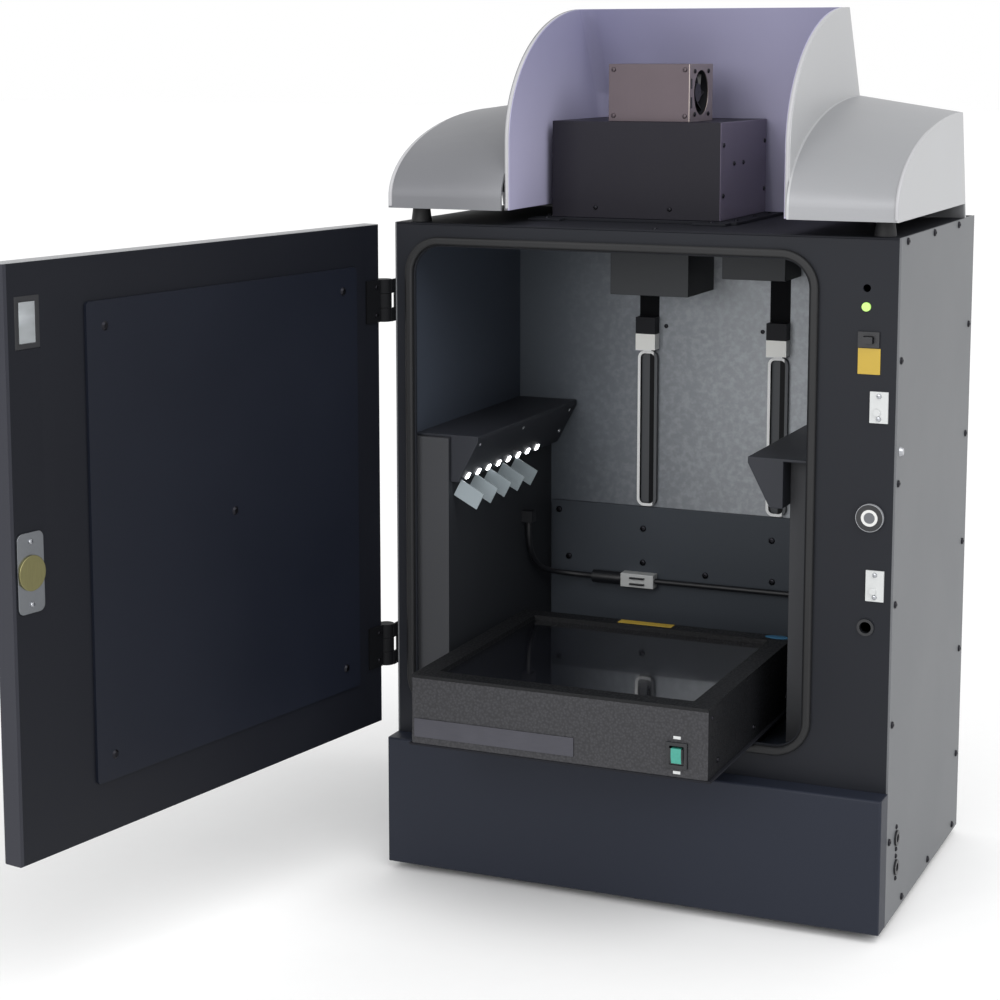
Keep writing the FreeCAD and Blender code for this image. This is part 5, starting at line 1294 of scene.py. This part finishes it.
@dataclass
class Studio:
    """Floor, soft lights and the camera at the photograph's viewing angle."""

    camera_place: Point = (731.7, -2176.2, 824.6)
    pitch: float = 0.14357
    yaw: float = 0.40802
    lens: float = 81.677
    shift_y: float = -0.12
    reach: float = 90.0
    floor_size: float = 60.0
    ambient: float = 0.72

    def camera(self) -> None:
        """Add the camera."""
        self._deselect()
        bpy.ops.object.camera_add(location=metres(self.camera_place),
                                  rotation=(math.pi / 2 - self.pitch, 0, self.yaw))
        seen = bpy.context.active_object
        seen.data.sensor_width = 36.0
        seen.data.lens = self.lens
        seen.data.shift_y = self.shift_y
        seen.data.clip_end = self.reach
        bpy.context.scene.camera = seen

    @staticmethod
    def _deselect() -> None:
        """Deselect everything."""
        bpy.ops.object.select_all(action="DESELECT")

    def floor(self) -> None:
        """Add the floor, which looks white to the camera and in reflections but keeps shadows."""
        self._deselect()
        bpy.ops.mesh.primitive_plane_add(size=self.floor_size, location=(0, 0, -0.0002))
        ground = bpy.context.active_object
        ground.name = "studio_floor"
        graph = Graph("studio_floor")
        grain = graph.noise(40.0, 2.0)
        tone = graph.mix(grain, (0.965, 0.965, 0.965, 1), (0.985, 0.985, 0.985, 1))
        ground.data.materials.append(graph.close({"Base Color": tone, "Roughness": 0.85,
                                                  "Specular IOR Level": 0.1}))

    def world(self) -> None:
        """Light softly from all round, and show white to the camera and in gloss."""
        world = bpy.data.worlds.new("studio")
        bpy.context.scene.world = world
        world.use_nodes = True
        tree = world.node_tree
        tree.nodes.clear()
        path = tree.nodes.new("ShaderNodeLightPath")
        ambient = tree.nodes.new("ShaderNodeBackground")
        ambient.inputs["Color"].default_value = (1.0, 1.0, 1.0, 1)
        ambient.inputs["Strength"].default_value = self.ambient
        white = tree.nodes.new("ShaderNodeBackground")
        white.inputs["Color"].default_value = (1.0, 1.0, 1.0, 1)
        white.inputs["Strength"].default_value = 1.0
        most = tree.nodes.new("ShaderNodeMath")
        most.operation = "MAXIMUM"
        seen = tree.nodes.new("ShaderNodeMath")
        seen.operation = "MAXIMUM"
        blend = tree.nodes.new("ShaderNodeMixShader")
        out = tree.nodes.new("ShaderNodeOutputWorld")
        tree.links.new(path.outputs["Is Camera Ray"], most.inputs[0])
        tree.links.new(path.outputs["Is Transmission Ray"], most.inputs[1])
        tree.links.new(most.outputs[0], seen.inputs[0])
        tree.links.new(path.outputs["Is Glossy Ray"], seen.inputs[1])
        tree.links.new(seen.outputs[0], blend.inputs[0])
        tree.links.new(ambient.outputs[0], blend.inputs[1])
        tree.links.new(white.outputs[0], blend.inputs[2])
        tree.links.new(blend.outputs[0], out.inputs["Surface"])

    def sun(self, name: str, place: Point, strength: float, spread: float) -> None:
        """Add a broad, distant light that looks at the object.

        Args:
            name: The light's name.
            place: The direction that it comes from, in metres.
            strength: Its strength in watts per square metre.
            spread: The angle that it fills in the sky, in degrees.
        """
        self._deselect()
        aim = (-Vector(place)).to_track_quat("-Z", "Y").to_euler()
        bpy.ops.object.light_add(type="SUN", location=place, rotation=aim)
        light = bpy.context.active_object
        light.name = name
        light.data.energy = strength
        light.data.angle = math.radians(spread)

    def softbox(self, name: str, place: Point, target: Point, power: float, size: float) -> None:
        """Add a soft square lamp.

        Args:
            name: The lamp's name.
            place: Where it hangs, in metres.
            target: What it looks at, in metres.
            power: Its power in watts.
            size: Its side in metres.
        """
        self._deselect()
        aim = (Vector(target) - Vector(place)).to_track_quat("-Z", "Y").to_euler()
        bpy.ops.object.light_add(type="AREA", location=place, rotation=aim)
        lamp = bpy.context.active_object
        lamp.name = name
        lamp.data.shape = "SQUARE"
        lamp.data.size = size
        lamp.data.energy = power

    def build(self) -> None:
        """Set up the studio."""
        scene = bpy.context.scene
        scene.view_settings.view_transform = "Standard"
        self.floor()
        self.world()
        self.sun("key", (2.0, -1.0, 2.3), 1.6, 60.0)
        self.softbox("front", (-0.5, -3.2, 1.5), (0.0, 0.0, 0.4), 34, 1.6)
        self.camera()


NODE_SWATCHES: Dict[str, Swatch] = {
    "base_pan": Swatch.BLACK_TOP,
    "chamber_liner": Swatch.CHAMBER,
    "chamber_back_wall": Swatch.BACK_WALL,
    "door_gasket": Swatch.GASKET,
    "rubber_feet": Swatch.RUBBER,
    "door_magnet": Swatch.MAGNET,
    "catch_plates": Swatch.WHITE_PLASTIC,
    "indicator_lamp": Swatch.GREEN_LENS,
    "interlock_body": Swatch.BLACK_PLASTIC,
    "interlock_plunger": Swatch.BLACK_PLASTIC,
    "cable_grommet": Swatch.BLACK_PLASTIC,
    "side_sockets": Swatch.BLACK_PLASTIC,
    "side_stud": Swatch.STEEL,
    "inner_plate_screws": Swatch.BLACK_SCREW,
    "window_pane": Swatch.PANE,
    "armature_disc": Swatch.BRASS,
    "hinge_fixed_leaves": Swatch.HINGE,
    "hinge_door_leaves": Swatch.HINGE,
    "power_supply": Swatch.BLACK_PLASTIC,
    "lamp_diffusers": Swatch.DIFFUSER,
    "upright_lamps": Swatch.UPRIGHT,
    "side_lamps": Swatch.LED,
    "reflector_vanes": Swatch.VANE,
    "lamp_lead": Swatch.LEAD,
    "terminal_tail": Swatch.LEAD,
    "lead_fittings": Swatch.BLACK_PLASTIC,
    "slide_rails": Swatch.BLACK_SCREW,
    "filter_glass": Swatch.FILTER,
    "uv_tubes": Swatch.DIFFUSER,
    "camera_bridge": Swatch.ALUMINIUM,
    "camera_body": Swatch.BLACK_PLASTIC,
    "filter_wheel": Swatch.BLACK_PLASTIC,
    "fan_frame": Swatch.BLACK_PLASTIC,
    "fan_rotor": Swatch.BLACK_PLASTIC,
}


def dress_nodes(palette: Palette, nodes: Dict[str, bpy.types.Object]) -> None:
    """Give each carried-over solid its finish.

    Args:
        palette: The materials.
        nodes: The solids by name.
    """
    for name, swatch in NODE_SWATCHES.items():
        palette.dress(nodes[name], swatch)


def main() -> None:
    logging.basicConfig(level=logging.INFO, format="%(name)s: %(message)s")
    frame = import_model()
    palette = Palette()
    bench = Bench(palette, frame["nodes"], frame["record"]["behaviour"]["bodies"])
    fasteners = Fasteners(bench)
    dress_nodes(palette, frame["nodes"])
    for assembly in (Cabinet(bench, fasteners), Door(bench, fasteners), Chamber(bench, fasteners),
                     Illuminator(bench, fasteners), CameraTower(bench, fasteners), Hood(bench)):
        assembly.build()
        LOG.info("built %s", type(assembly).__name__)
    fasteners.discard()
    Studio().build()
    bpy.context.view_layer.update()


if __name__ == "__main__":
    main()
